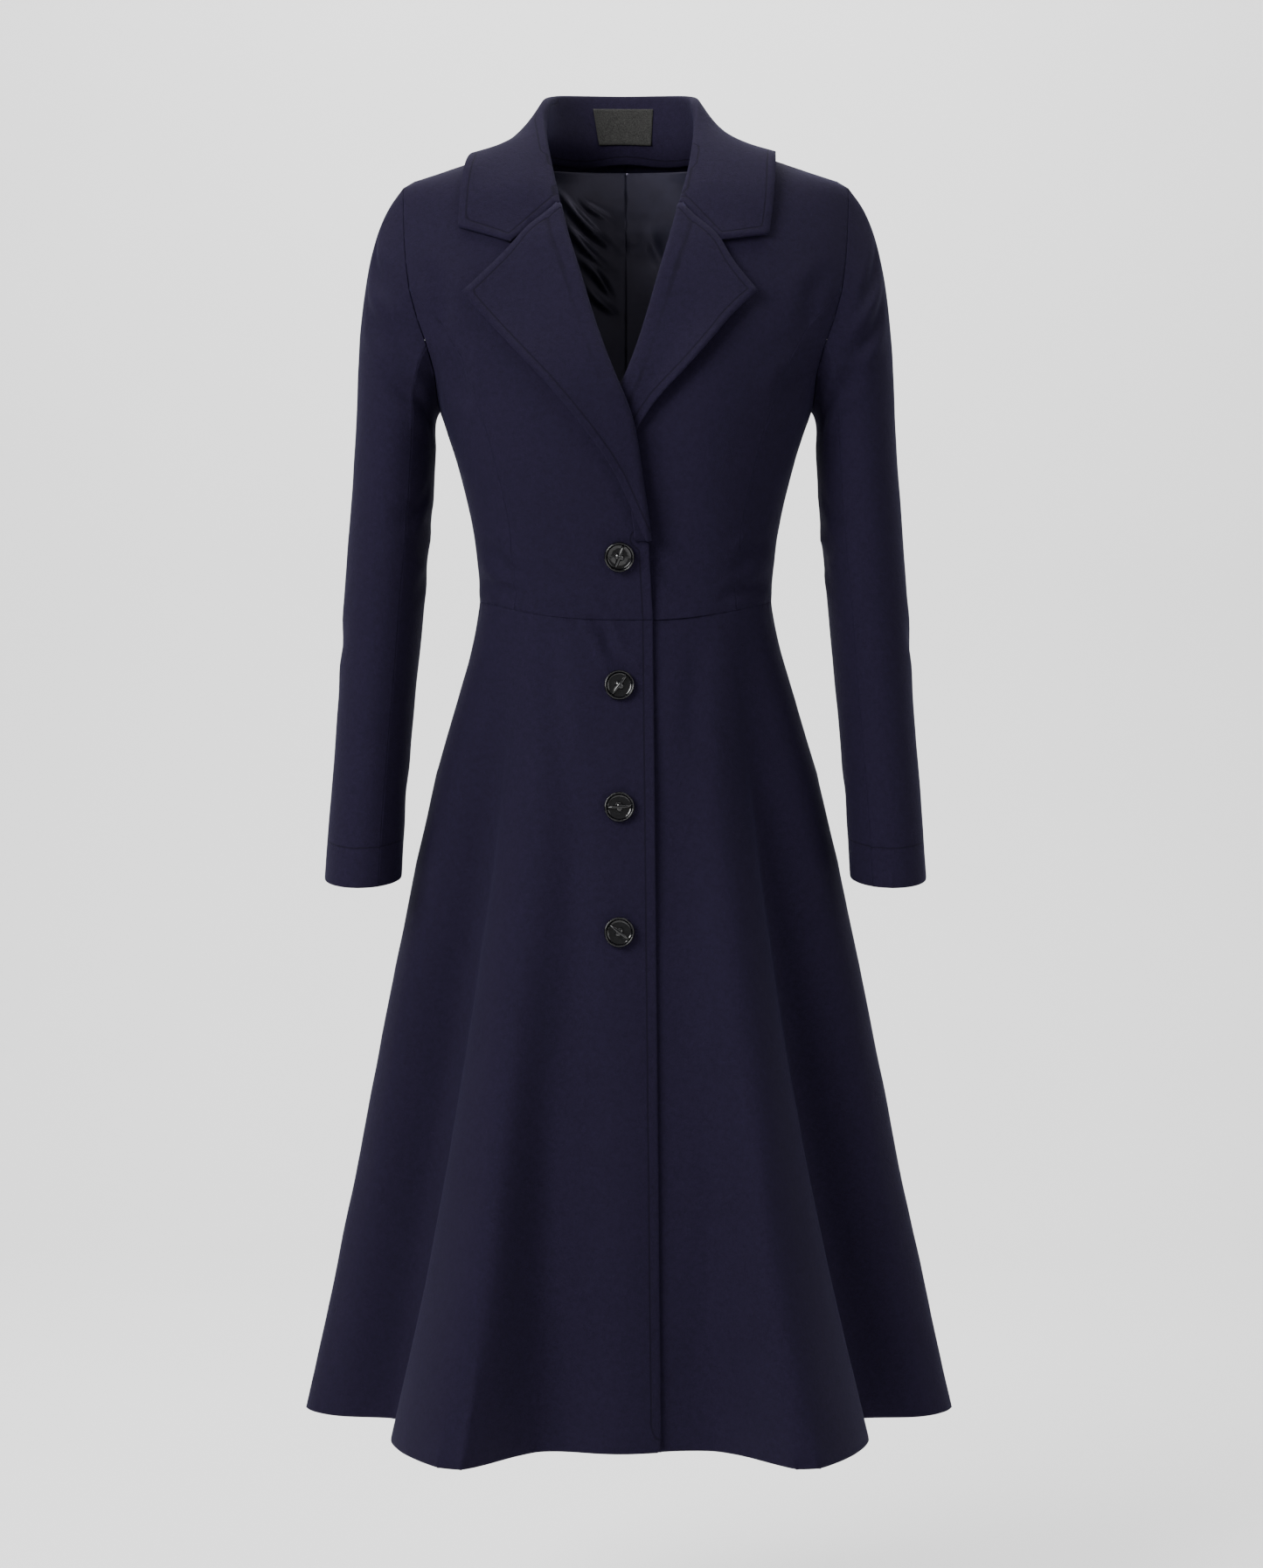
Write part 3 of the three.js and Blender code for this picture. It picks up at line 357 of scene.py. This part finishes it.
def mix_colours(tree, factor, first, second):
    """A mix of two colours. Each input is another node's output or a plain value."""
    mix = add_node(tree, "ShaderNodeMix", {"data_type": "RGBA"})
    # Sockets 0, 6 and 7 are the factor and the two colours. Output 2 is the mixed colour.
    for socket, source in ((0, factor), (6, first), (7, second)):
        if isinstance(source, bpy.types.NodeSocket):
            tree.links.new(source, mix.inputs[socket])
        else:
            mix.inputs[socket].default_value = source
    return mix.outputs[2]


def finish_shader(tree, shader, colour, normal, values):
    """Links colour and normal to a shader and sets its plain values."""
    tree.links.new(colour, shader.inputs["Base Color"])
    if normal is not None:
        tree.links.new(normal, shader.inputs["Normal"])
    for name, value in values.items():
        shader.inputs[name].default_value = value


def line_groove(tree, line_mm):
    """0 on the sewn line that runs line_mm in from a free edge, and 1 beside it. It shapes the
    groove's relief and places its painted shade.
    """
    inset = add_node(tree, "ShaderNodeAttribute", {"attribute_name": "edge_mm"})
    off = add_node(
        tree,
        "ShaderNodeMath",
        {"operation": "SUBTRACT"},
        {1: float(line_mm)},
        {0: inset.outputs["Fac"]},
    )
    far = add_node(tree, "ShaderNodeMath", {"operation": "ABSOLUTE"}, links={0: off.outputs[0]})
    groove_and_painted_shade = add_node(
        tree,
        "ShaderNodeMapRange",
        {"interpolation_type": "SMOOTHSTEP"},
        {"From Min": 0.1, "From Max": 1.1, "To Min": 0, "To Max": 1},
        {"Value": far.outputs[0]},
    )
    return groove_and_painted_shade.outputs["Result"]


def wool_melton(line_mm):
    """Wool melton, woven, milled and cropped: a matt felted face with a short nap that
    lightens at grazing angles, slightly mottled, with a shallow sewn line near free edges
    that is darkened in colour by painted shade."""
    cloth = bpy.context.scene.coat_cloth
    name = f"navy wool melton, sewn {line_mm:g} mm in" if line_mm else "navy wool melton"
    found = bpy.data.materials.get(name)
    if found:
        return found
    material, tree, shader = new_material(name)
    place = add_node(tree, "ShaderNodeTexCoord").outputs["Object"]
    shade = cloth.wool_hex
    fibre = noise_factor(tree, place, cloth.fibre, Detail=4, Roughness=0.7, Distortion=0.8)
    tuft = noise_factor(tree, place, 4 * cloth.fibre, Detail=4, Roughness=0.65)
    cast = noise_factor(tree, place, 80 * MM, Detail=2)
    speck = two_tone(tree, fibre, shade, 0.5, 1.75)
    mottle = two_tone(tree, tuft, shade, 0.7, 1.42)
    broad = two_tone(tree, cast, shade, 0.93, 1.08)
    colour = mix_colours(tree, 0.3, mix_colours(tree, 0.5, speck, mottle), broad)
    nap = bump_normal(tree, fibre, 0.55, 0.5 * MM)
    normal = bump_normal(tree, tuft, 0.35, 1.2 * MM, nap)
    if line_mm:
        groove_and_painted_shade = line_groove(tree, line_mm)
        normal = bump_normal(tree, groove_and_painted_shade, 0.32, 0.6 * MM, normal)
        # Painted shade: along the sewn line's groove the colour darkens to 0.6 of the wool.
        colour = mix_colours(tree, groove_and_painted_shade, lighter(shade, 0.6), colour)
    values = {
        "Roughness": 0.92,
        "Specular IOR Level": 0.08,
        "Sheen Weight": 0.11,
        "Sheen Roughness": 0.3,
        "Sheen Tint": linear("5A5890"),
    }
    finish_shader(tree, shader, colour, normal, values)
    return material


def acetate_satin():
    """Acetate satin lining: long floats give a smooth soft gloss over faint ribs,
    with patches of painted highlight in its colour.
    """
    cloth = bpy.context.scene.coat_cloth
    material, tree, shader = new_material("navy acetate satin")
    place = add_node(tree, "ShaderNodeTexCoord").outputs["Object"]
    # A wave of scale 1 repeats every 314 mm, so these ribs repeat every 7.5 mm.
    ribs = add_node(
        tree,
        "ShaderNodeTexWave",
        {"bands_direction": "Z"},
        {"Scale": 125 / 3, "Distortion": 0.6, "Detail": 2},
        {"Vector": place},
    )
    # Painted highlights: patches about 14 mm across lighten the satin's colour, and darken it a
    # little between them.
    painted_highlight_patches = noise_factor(tree, place, 14 * MM, Detail=3)
    colour = two_tone(tree, painted_highlight_patches, cloth.satin_hex, 0.85, 1.3)
    normal = bump_normal(tree, ribs.outputs["Fac"], 0.12, 0.2 * MM)
    values = {
        "Roughness": 0.36,
        "Specular IOR Level": 0.75,
        "Specular Tint": linear("CFC8E4"),
    }
    finish_shader(tree, shader, colour, normal, values)
    return material


def grained_tape():
    """Woven polyester label tape: matt black with a fine cross grain."""
    cloth = bpy.context.scene.coat_cloth
    material, tree, shader = new_material("black woven label tape")
    place = add_node(tree, "ShaderNodeTexCoord").outputs["Object"]
    grain = noise_factor(tree, place, 0.8 * MM, Detail=3, Roughness=0.6)
    colour = two_tone(tree, grain, cloth.label_hex, 0.2, 1.9)
    normal = bump_normal(tree, grain, 0.6, 0.3 * MM)
    values = {"Roughness": 0.8, "Specular IOR Level": 0.15}
    finish_shader(tree, shader, colour, normal, values)
    return material


def moulded_resin():
    """Moulded polyester resin button: black, glossy, with faint moulding waves."""
    buttons = bpy.context.scene.coat_buttons
    material, tree, shader = new_material("black moulded resin")
    place = add_node(tree, "ShaderNodeTexCoord").outputs["Object"]
    waves = noise_factor(tree, place, 3 * MM, Detail=1)
    wear = add_node(
        tree,
        "ShaderNodeMapRange",
        inputs={"To Min": 0.05, "To Max": 0.14},
        links={"Value": waves},
    )
    colour = two_tone(tree, waves, buttons.hex, 0.8, 1.4)
    normal = bump_normal(tree, waves, 0.35, 0.5 * MM)
    tree.links.new(wear.outputs["Result"], shader.inputs["Roughness"])
    values = {
        "IOR": 1.5,
        "Specular IOR Level": 0.4,
        "Coat Weight": 0.12,
        "Coat Roughness": 0.05,
    }
    finish_shader(tree, shader, colour, normal, values)
    return material


def past(value, start, span):
    """A soft step: 0 up to a start, and 1 from a span after it."""
    share = min(max((value - start) / span, 0), 1)
    return share * share * (3 - 2 * share)


def sleeve_middle(side, z_mm):
    """Middle of a sleeve at a height, in mm."""
    for (z1, x1, f1), (z2, x2, f2) in zip(SLEEVE_LINE, SLEEVE_LINE[1:]):
        if z_mm >= z2 or z2 == SLEEVE_LINE[-1][0]:
            share = min(max((z_mm - z1) / (z2 - z1), 0), 1)
            return side * (x1 + share * (x2 - x1)), -(f1 + share * (f2 - f1))
    return side * SLEEVE_LINE[-1][1], 0


def outward(form, co):
    """Way out of the cloth at a point, level with the floor."""
    if form == "sleeve":
        x, y = sleeve_middle(math.copysign(1, co.x), co.z / MM)
        way = Vector((co.x - x * MM, co.y - y * MM, 0))
    else:
        # The body is wider than deep, so the way out leans to the front and back.
        way = Vector((co.x * 0.8, co.y, 0))
    return way.normalized() if way.length > 1e-6 else Vector((0, -1, 0))


def trough(distance, width):
    """Section of a crease: a soft trough with a low ridge on each side."""
    share = distance / width
    return math.exp(-share * share) - RIDGE_HEIGHT * math.exp(-((share - RIDGE_AT) ** 2))


def taper(along, over):
    """Rises from 0 to 1 and falls again along a line and a share over both its ends."""
    inside = -over < along < 1 + over
    return math.sin(math.pi * (along + over) / (1 + 2 * over)) if inside else 0.0


def along_and_across(x, z, x1, z1, x2, z2):
    """A point's share of the way along a line, and its distance to the line's side."""
    run = Vector((x2 - x1, z2 - z1))
    off = Vector((x - x1, z - z1))
    return off.dot(run) / run.length_squared, off.cross(run) / run.length


def crease_depth(form, co):
    """Depth of the creases at a point, in metres."""
    x, y, z = co.x / MM, co.y / MM, co.z / MM
    total = 0.0
    if form == "sleeve":
        side = math.copysign(1, x)
        mx, my = sleeve_middle(side, z)
        turn = math.degrees(math.atan2(-(y - my), (x - mx) * side)) % 360
        for at, level, reach, slant, depth, width in SLEEVE_CREASES:
            level += 0 if side < 0 else 7 * math.sin(level)
            away = (turn - at + 180) % 360 - 180
            along = away / (reach * (1 if side < 0 else 0.9))
            if abs(along) < 1:
                bend = level + slant * along + 3 * math.sin(3 * along + level)
                total += depth * trough(abs(z - bend), width) * (1 - along * along) ** 2
        return total * MM * CREASE_SCALE
    face = -1 if y < 0 else 1
    for where, x1, z1, x2, z2, depth, width in CREASES:
        if where != face:
            continue
        along, across = along_and_across(x, z, x1, z1, x2, z2)
        wander = 2.5 * math.sin(5 * along + x1)
        total += depth * trough(abs(across + wander), width) * taper(along, CREASE_OVER)
    return total * MM * CREASE_SCALE * min(abs(y) / SIDE_FADE, 1)


def seam_pucker(form, co):
    """Fine gathers where the waist seam draws the cloth in, in metres."""
    if form == "sleeve":
        return 0.0
    waist = WAIST_Z - WAIST_DIP * max(-co.y / MM, 0) / FRONT_DEPTH
    near = math.exp(-(((co.z / MM - waist) / PUCKER_REACH) ** 2))
    around = math.atan2(co.x, -co.y)
    ripple = noise.noise(Vector((around * PUCKER_COUNT, PUCKER_ROW, 0)))
    return PUCKER_DEPTH * MM * near * max(ripple, 0)


def settle(bm, form, quiet):
    """Moves the cloth of a piece to its creases, puckers and slack, and leaves it still
    beside the quiet points, so that the seams between pieces stay closed."""
    slack = bpy.context.scene.coat_cloth.slack
    for vert in bm.verts:
        co = vert.co
        depth = -sum(noise.noise(co * many) * slack * share for many, share in SLACK_WAVES)
        if form != "neck":
            depth += crease_depth(form, co) + seam_pucker(form, co)
        away = quiet.find(co)[2] / MM
        depth *= past(away, QUIET_MM, FADE_MM)
        vert.co = co - outward(form, co) * depth


def edge_lift(node, z_mm, edge_mm):
    """How far a free edge stands off the layer beneath it, in metres."""
    if node.startswith("lapel"):
        top, bottom, height, reach = LAPEL_LIFT
    elif node == "skirt_front_right":
        top, bottom, height, reach = CLOSING_LIFT
    else:
        return 0.0
    along = (z_mm - bottom) / (top - bottom)
    if not 0 < along < 1:
        return 0.0
    return height * MM * math.sin(math.pi * along) ** 1.5 * math.exp(-edge_mm / reach)


def ease_notch(node, co):
    """Where the worn collar tips hang a little lower and the lapels reach up to meet them."""
    x, y, z = co.x / MM, co.y / MM, co.z / MM
    side = math.copysign(1, x)
    if node == "collar":
        tip = past(-z, *TIP_BELOW) * past(-y, *TIP_AHEAD)
        edge = past(abs(x), *EDGE_OUT) * past(-y, *EDGE_AHEAD)
        inward, down = COLLAR_EASE
        return Vector((-side * inward * edge, 0, -down * tip)) * MM
    if node.startswith("lapel"):
        away = math.hypot(abs(x) - NOTCH_AT[0], z - NOTCH_AT[1]) / NOTCH_REACH
        out, ahead, up = NOTCH_MOVE
        move = Vector((side * out, ahead, up)) * math.exp(-away * away)
        if node == "lapel_right":
            move += LAPEL_END * past(-z, *LAPEL_END_BELOW)
        return move * MM
    return Vector((0, 0, 0))


def new_object(name, data):
    """A new object, linked to the scene."""
    item = bpy.data.objects.new(name, data)
    bpy.context.collection.objects.link(item)
    return item


def fill_mesh(mesh, bm):
    """Moves the built form into a mesh with smooth faces."""
    for face in bm.faces:
        face.smooth = True
    bm.to_mesh(mesh)
    bm.free()
    return mesh


def chain(bm, points):
    """Points joined by edges, one after the other."""
    verts = [bm.verts.new(point) for point in points]
    return verts, [bm.edges.new(pair) for pair in zip(verts, verts[1:])]


def welded(node):
    """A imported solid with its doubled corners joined."""
    bm = bmesh.new()
    bm.from_mesh(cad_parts[node].data)
    bmesh.ops.remove_doubles(bm, verts=bm.verts, dist=2e-6)
    return bm


def rim_points(node):
    """Points every 2 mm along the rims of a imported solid."""
    bm = welded(node)
    points = []
    for edge in bm.edges:
        if edge.calc_face_angle(0) > RIM_ANGLE:
            a, b = (vert.co.copy() for vert in edge.verts)
            steps = max(int((a - b).length / (2 * MM)), 1)
            points += [a.lerp(b, i / steps) for i in range(steps + 1)]
    bm.free()
    return points


def point_tree(points):
    """A search tree of points. One far point keeps an empty tree usable."""
    tree = kdtree.KDTree(len(points) + 1)
    for i, point in enumerate(points):
        tree.insert(point, i)
    tree.insert((0, 0, 9), len(points))
    tree.balance()
    return tree


def free_edge(node, point, near_seam):
    """Whether a sewn line or a hem follows the rim of a piece at a point."""
    x, z = point.x / MM, point.z / MM
    if node.startswith("sleeve"):
        return z < CUFF_TOP and not near_seam
    if node.startswith(("skirt_front", "bodice_front")):
        low, high = CLOSING_X[node.rsplit("_", 1)[1]]
        closing = low < x < high and point.y < 0 and HEM_TOP < z < BREAK_TOP
        return closing and (not near_seam or z > BREAK_LOW)
    return not near_seam


def pieces_beside(node, point, trees):
    """The other pieces whose rims share a seam with a piece at a point."""
    return [n for n, tree in trees.items() if n != node and tree.find(point)[2] < SEAM_REACH]


def seams_and_edges():
    """The quiet points, the points along every piece's free edges and its rim tree."""
    forms = {row[0]: "body" if row[4] in ("torso", "skirt") else row[4] for row in WOOL_PIECES}
    rims = {node: rim_points(node) for node in forms}
    trees = {node: point_tree(points) for node, points in rims.items()}
    quiet, edges = [], {}
    for node, points in rims.items():
        edges[node] = []
        for point in points:
            beside = pieces_beside(node, point, trees)
            if any(forms[n] != forms[node] for n in beside):
                quiet.append(point)
            if free_edge(node, point, bool(beside)):
                edges[node].append(point)
    for i in range(len(BUTTON_TURNS)):
        low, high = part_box(f"button_{i + 1}")
        quiet.append((low + high) / 2)
    return point_tree(quiet), edges, trees


def widen_rims(bm):
    """Lets the rims of a piece out, so that no light falls through a seam."""
    shifts = {}
    for face in bm.faces:
        long = sorted(face.edges, key=lambda edge: edge.calc_length())[-2:]
        thin = face.calc_area() / long[1].calc_length() < WALL_MAX
        if thin and all(edge.calc_face_angle(0) > RIM_ANGLE for edge in long):
            for vert in face.verts:
                shifts.setdefault(vert, []).append(face.normal.copy())
    for vert, normals in shifts.items():
        kinds = []
        for normal in normals:
            # Normals within about 45 degrees of each other belong to one wall.
            if all(normal.dot(other) < 0.7 for other in kinds):
                kinds.append(normal)
        for normal in kinds:
            vert.co += normal * RIM_LET_OUT


def cloth_mesh(node, form, levels, quiet, edges, trees):
    """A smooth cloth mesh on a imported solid's form, with its rims kept crisp and its seams
    held where the solid has them."""
    bm = welded(node)
    bmesh.ops.join_triangles(
        bm,
        faces=bm.faces,
        angle_face_threshold=JOIN_BEND,
        angle_shape_threshold=JOIN_SKEW,
    )
    bm.normal_update()
    widen_rims(bm)
    crisp = bm.edges.layers.float.new("crease_edge")
    corner = bm.verts.layers.float.new("crease_vert")
    for edge in bm.edges:
        if edge.calc_face_angle(0) > RIM_ANGLE:
            edge[crisp] = RIM_HOLD
    for vert in bm.verts:
        rims = [edge for edge in vert.link_edges if edge[crisp] > 0]
        bent = False
        if len(rims) == 2:
            ways = [(edge.other_vert(vert).co - vert.co).normalized() for edge in rims]
            bent = ways[0].dot(-ways[1]) < math.cos(CORNER_BEND)
        if len(rims) > 2 or bent or (rims and pieces_beside(node, vert.co, trees)):
            vert[corner] = 1.0
    draft = bpy.data.meshes.new(node)
    bm.to_mesh(draft)
    bm.free()
    body = new_object(node + "_draft", draft)
    smooth = body.modifiers.new("Smooth", "SUBSURF")
    smooth.levels = levels
    smooth.render_levels = levels
    graph = bpy.context.evaluated_depsgraph_get()
    mesh = bpy.data.meshes.new_from_object(body.evaluated_get(graph))
    bpy.data.objects.remove(body)
    bpy.data.meshes.remove(draft)
    bm = bmesh.new()
    bm.from_mesh(mesh)
    inset = bm.verts.layers.float.new("edge_mm")
    tree = point_tree(edges)
    for vert in bm.verts:
        vert[inset] = tree.find(vert.co)[2] / MM
    settle(bm, form, quiet)
    for vert in bm.verts:
        vert.co += ease_notch(node, vert.co)
        vert.co.y -= edge_lift(node, vert.co.z / MM, vert[inset])
    return fill_mesh(mesh, bm)


def add_piece(name, mesh, material, node):
    """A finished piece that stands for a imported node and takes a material."""
    mesh.materials.clear()
    mesh.materials.append(material)
    piece = new_object(name, mesh)
    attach(piece, "root")
    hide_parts(node)
    return piece


class COAT_OT_wool(bpy.types.Operator):
    """Dress the cut-and-sewn wool pieces."""

    bl_idname = "coat.wool"
    bl_label = "Wool pieces"

    def execute(self, context):
        levels = context.scene.coat_cloth.smoothness
        quiet, edges, trees = seams_and_edges()
        for node, width, length, area, form, line in WOOL_PIECES:
            folded = node.startswith(("collar", "lapel"))
            level = levels if folded else levels + 1
            mesh = cloth_mesh(node, form, level, quiet, edges[node], trees)
            piece = add_piece(node + "_cloth", mesh, wool_melton(line), node)
        return {"FINISHED"}


def lift_lining(bm):
    """Raises the slanting folds of the satin towards the neck hollow."""
    for vert in bm.verts:
        x, z = vert.co.x / MM, vert.co.z / MM
        lift = 0.0
        for x1, z1, x2, z2, height, width in LINING_FOLDS:
            along, across = along_and_across(x, z, x1, z1, x2, z2)
            across += 2 * math.sin(4 * along + x1)
            rise = taper(along, FOLD_OVER) ** 2 * math.exp(-((across / width) ** 2))
            lift = max(lift, height * rise)
        seam = min(abs(x - LINING_SEAM_X) / 6, 1)
        vert.co.y -= lift * seam * MM
        vert.co -= outward("torso", vert.co) * LINING_STAND


class COAT_OT_lining(bpy.types.Operator):
    """Dress the satin back lining and the label."""

    bl_idname = "coat.lining"
    bl_label = "Lining and label"

    def execute(self, context):
        satin = acetate_satin()
        levels = context.scene.coat_cloth.smoothness
        quiet = seams_and_edges()[0]
        trees = {node: point_tree(rim_points(node)) for node in LINING_NODES}
        for node in LINING_NODES:
            mesh = cloth_mesh(node, "torso", levels + 1, quiet, [], trees)
            bm = bmesh.new()
            bm.from_mesh(mesh)
            lift_lining(bm)
            piece = add_piece(node + "_cloth", fill_mesh(mesh, bm), satin, node)
        mesh = cloth_mesh("label", "neck", levels, quiet, [], {})
        label = add_piece("label_tape", mesh, grained_tape(), "label")
        return {"FINISHED"}


def button_mesh(radius, height, turn):
    """A domed button with a raised rim, a slanting bar and an oval boss."""
    sizes = bpy.context.scene.coat_buttons
    rim = sizes.rim
    # From the middle of the underside, round the rim, to the middle of the face.
    outline = (
        (0.0, 0.0),
        (radius - 1.6 * MM, 0.0),
        (radius - 0.4 * MM, 0.16 * height),
        (radius, 0.42 * height),
        (radius - 0.2 * rim, 0.7 * height),
        (radius - 0.45 * rim, 0.8 * height),
        (radius - 0.7 * rim, 0.7 * height),
        (radius - rim, 0.34 * height),
        (radius - 1.35 * rim, 0.22 * height),
        (0.5 * radius, 0.3 * height),
        (0.22 * radius, 0.36 * height),
        (0.0, 0.38 * height),
    )
    bm = bmesh.new()
    verts, edges = chain(bm, [(r, 0, z) for r, z in outline])
    bmesh.ops.spin(
        bm,
        geom=verts + edges,
        cent=(0, 0, 0),
        axis=(0, 0, 1),
        angle=math.tau,
        steps=48,
        use_merge=True,
        use_duplicate=False,
    )
    bmesh.ops.remove_doubles(bm, verts=bm.verts, dist=1e-6)
    bmesh.ops.recalc_face_normals(bm, faces=bm.faces)
    bar = (0.82 * radius, 1.9 * MM, 0.46 * height), 0.42 * height
    boss = (0.5 * sizes.boss, 0.68 * sizes.boss, 0.45 * height), 0.38 * height
    for spread, rise in (bar, boss):
        dome = bmesh.ops.create_uvsphere(bm, u_segments=28, v_segments=14, radius=1)["verts"]
        bmesh.ops.scale(bm, vec=spread, verts=dome)
        bmesh.ops.translate(bm, vec=(0, 0, rise), verts=dome)
    bmesh.ops.rotate(
        bm, cent=(0, 0, 0), matrix=Matrix.Rotation(math.radians(turn), 3, "Z"), verts=bm.verts
    )
    return fill_mesh(bpy.data.meshes.new("button"), bm)


class COAT_OT_buttons(bpy.types.Operator):
    """Model the moulded buttons on their packed places."""

    bl_idname = "coat.buttons"
    bl_label = "Buttons"

    def execute(self, context):
        resin = moulded_resin()
        for i, turn in enumerate(BUTTON_TURNS):
            node = f"button_{i + 1}"
            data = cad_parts[node].data
            low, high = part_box(node)
            centre = (low + high) / 2
            face = sorted(data.polygons, key=lambda p: p.normal.y)[0]
            normal = Vector((0, 0, 0))
            for polygon in data.polygons:
                if polygon.normal.dot(face.normal) > 0.8:
                    normal += polygon.normal * polygon.area
            normal.normalize()
            spans = [(vert.co - centre).dot(normal) for vert in data.vertices]
            across = max(
                (vert.co - centre - normal * span).length
                for vert, span in zip(data.vertices, spans)
            )
            mesh = button_mesh(across, max(spans) - min(spans), turn)
            stand = normal.to_track_quat("Z", "Y").to_matrix().to_4x4()
            mesh.transform(Matrix.Translation(centre + normal * min(spans)) @ stand)
            add_piece(node + "_resin", mesh, resin, node)
        return {"FINISHED"}


def paper_backdrop():
    """Matt seamless backdrop paper."""
    studio = bpy.context.scene.coat_studio
    material, tree, shader = new_material("pale backdrop paper")
    place = add_node(tree, "ShaderNodeTexCoord").outputs["Object"]
    pulp = noise_factor(tree, place, 1 / 3, Detail=1)
    colour = two_tone(tree, pulp, studio.backdrop_hex, 0.99, 1.0)
    finish_shader(tree, shader, colour, None, {"Roughness": 0.95, "Specular IOR Level": 0.1})
    return material


def add_light(name, size, place, target, watts):
    """A soft square light aimed at a point."""
    data = bpy.data.lights.new(name, "AREA")
    data.shape = "SQUARE"
    data.size = size
    data.energy = watts
    lamp = new_object(name, data)
    lamp.location = place
    aim = Vector(target) - Vector(place)
    lamp.rotation_euler = aim.to_track_quat("-Z", "Y").to_euler()


class COAT_OT_stage(bpy.types.Operator):
    """Set the backdrop, lights and camera."""

    bl_idname = "coat.stage"
    bl_label = "Stage"

    def execute(self, context):
        studio = context.scene.coat_studio
        floor_z, front, back, top, bend = -1.33, -3.2, 3.4, 4.0, 1.2
        half_width, steps = 5, 16
        bm = bmesh.new()
        line = [(front, floor_z)]
        for i in range(steps + 1):
            turn = math.radians(90 * i / steps)
            y = back - bend + bend * math.sin(turn)
            line.append((y, floor_z + bend * (1 - math.cos(turn))))
        line.append((back, top))
        edges = chain(bm, [(-half_width, y, z) for y, z in line])[1]
        swept = bmesh.ops.extrude_edge_only(bm, edges=edges)["geom"]
        moved = [item for item in swept if isinstance(item, bmesh.types.BMVert)]
        bmesh.ops.translate(bm, vec=(2 * half_width, 0, 0), verts=moved)
        mesh = fill_mesh(bpy.data.meshes.new("sweep"), bm)
        mesh.materials.append(paper_backdrop())
        sweep = new_object("sweep", mesh)
        middle = (0, 0, -0.5)
        add_light("key", 1.6, (-1.9, -2.0, 0.8), middle, studio.key)
        add_light("fill", 2.0, (2.2, -2.0, 0.1), middle, studio.fill)
        add_light("top", 1.6, (0.2, 0.6, 1.7), middle, studio.fill * 0.4)
        add_light("back wash", 3.0, (0, 0.9, 2.4), (0, 3.2, -0.6), studio.key * 1.45)
        world = bpy.data.worlds.new("studio air")
        world.use_nodes = True
        sky = world.node_tree.nodes["Background"]
        sky.inputs["Color"].default_value = (1, 1, 1, 1)
        sky.inputs["Strength"].default_value = 0.38
        context.scene.world = world
        data = bpy.data.cameras.new("camera")
        data.lens = studio.lens
        data.sensor_width = 36
        camera = new_object("camera", data)
        camera.location = (studio.aside, -studio.distance, studio.eye)
        camera.rotation_euler = (math.radians(90), 0, 0)
        context.scene.camera = camera
        return {"FINISHED"}


class COAT_PT_panel(bpy.types.Panel):
    """Lists the coat's operators in the sidebar."""

    bl_idname = "COAT_PT_panel"
    bl_label = "Wool coat"
    bl_space_type = "VIEW_3D"
    bl_region_type = "UI"
    bl_category = "Coat"

    def draw(self, context):
        for kind in OPERATORS:
            self.layout.operator(kind.bl_idname)
        for name in GROUPS:
            group = getattr(context.scene, name)
            for key in group.bl_rna.properties.keys():
                if key not in ("rna_type", "name"):
                    self.layout.prop(group, key)


OPERATORS = (COAT_OT_stage, COAT_OT_wool, COAT_OT_lining, COAT_OT_buttons)
GROUPS = {"coat_cloth": CoatCloth, "coat_buttons": CoatButtons, "coat_studio": CoatStudio}
CLASSES = (*GROUPS.values(), *OPERATORS, COAT_PT_panel)


def register():
    for kind in CLASSES:
        bpy.utils.register_class(kind)
    for name, group in GROUPS.items():
        setattr(bpy.types.Scene, name, bpy.props.PointerProperty(type=group))


def unregister():
    for name in GROUPS:
        delattr(bpy.types.Scene, name)
    for kind in reversed(CLASSES):
        bpy.utils.unregister_class(kind)


def main():
    register()
    bpy.ops.coat.stage()
    bpy.ops.coat.wool()
    bpy.ops.coat.lining()
    bpy.ops.coat.buttons()


if __name__ == "__main__":
    main()
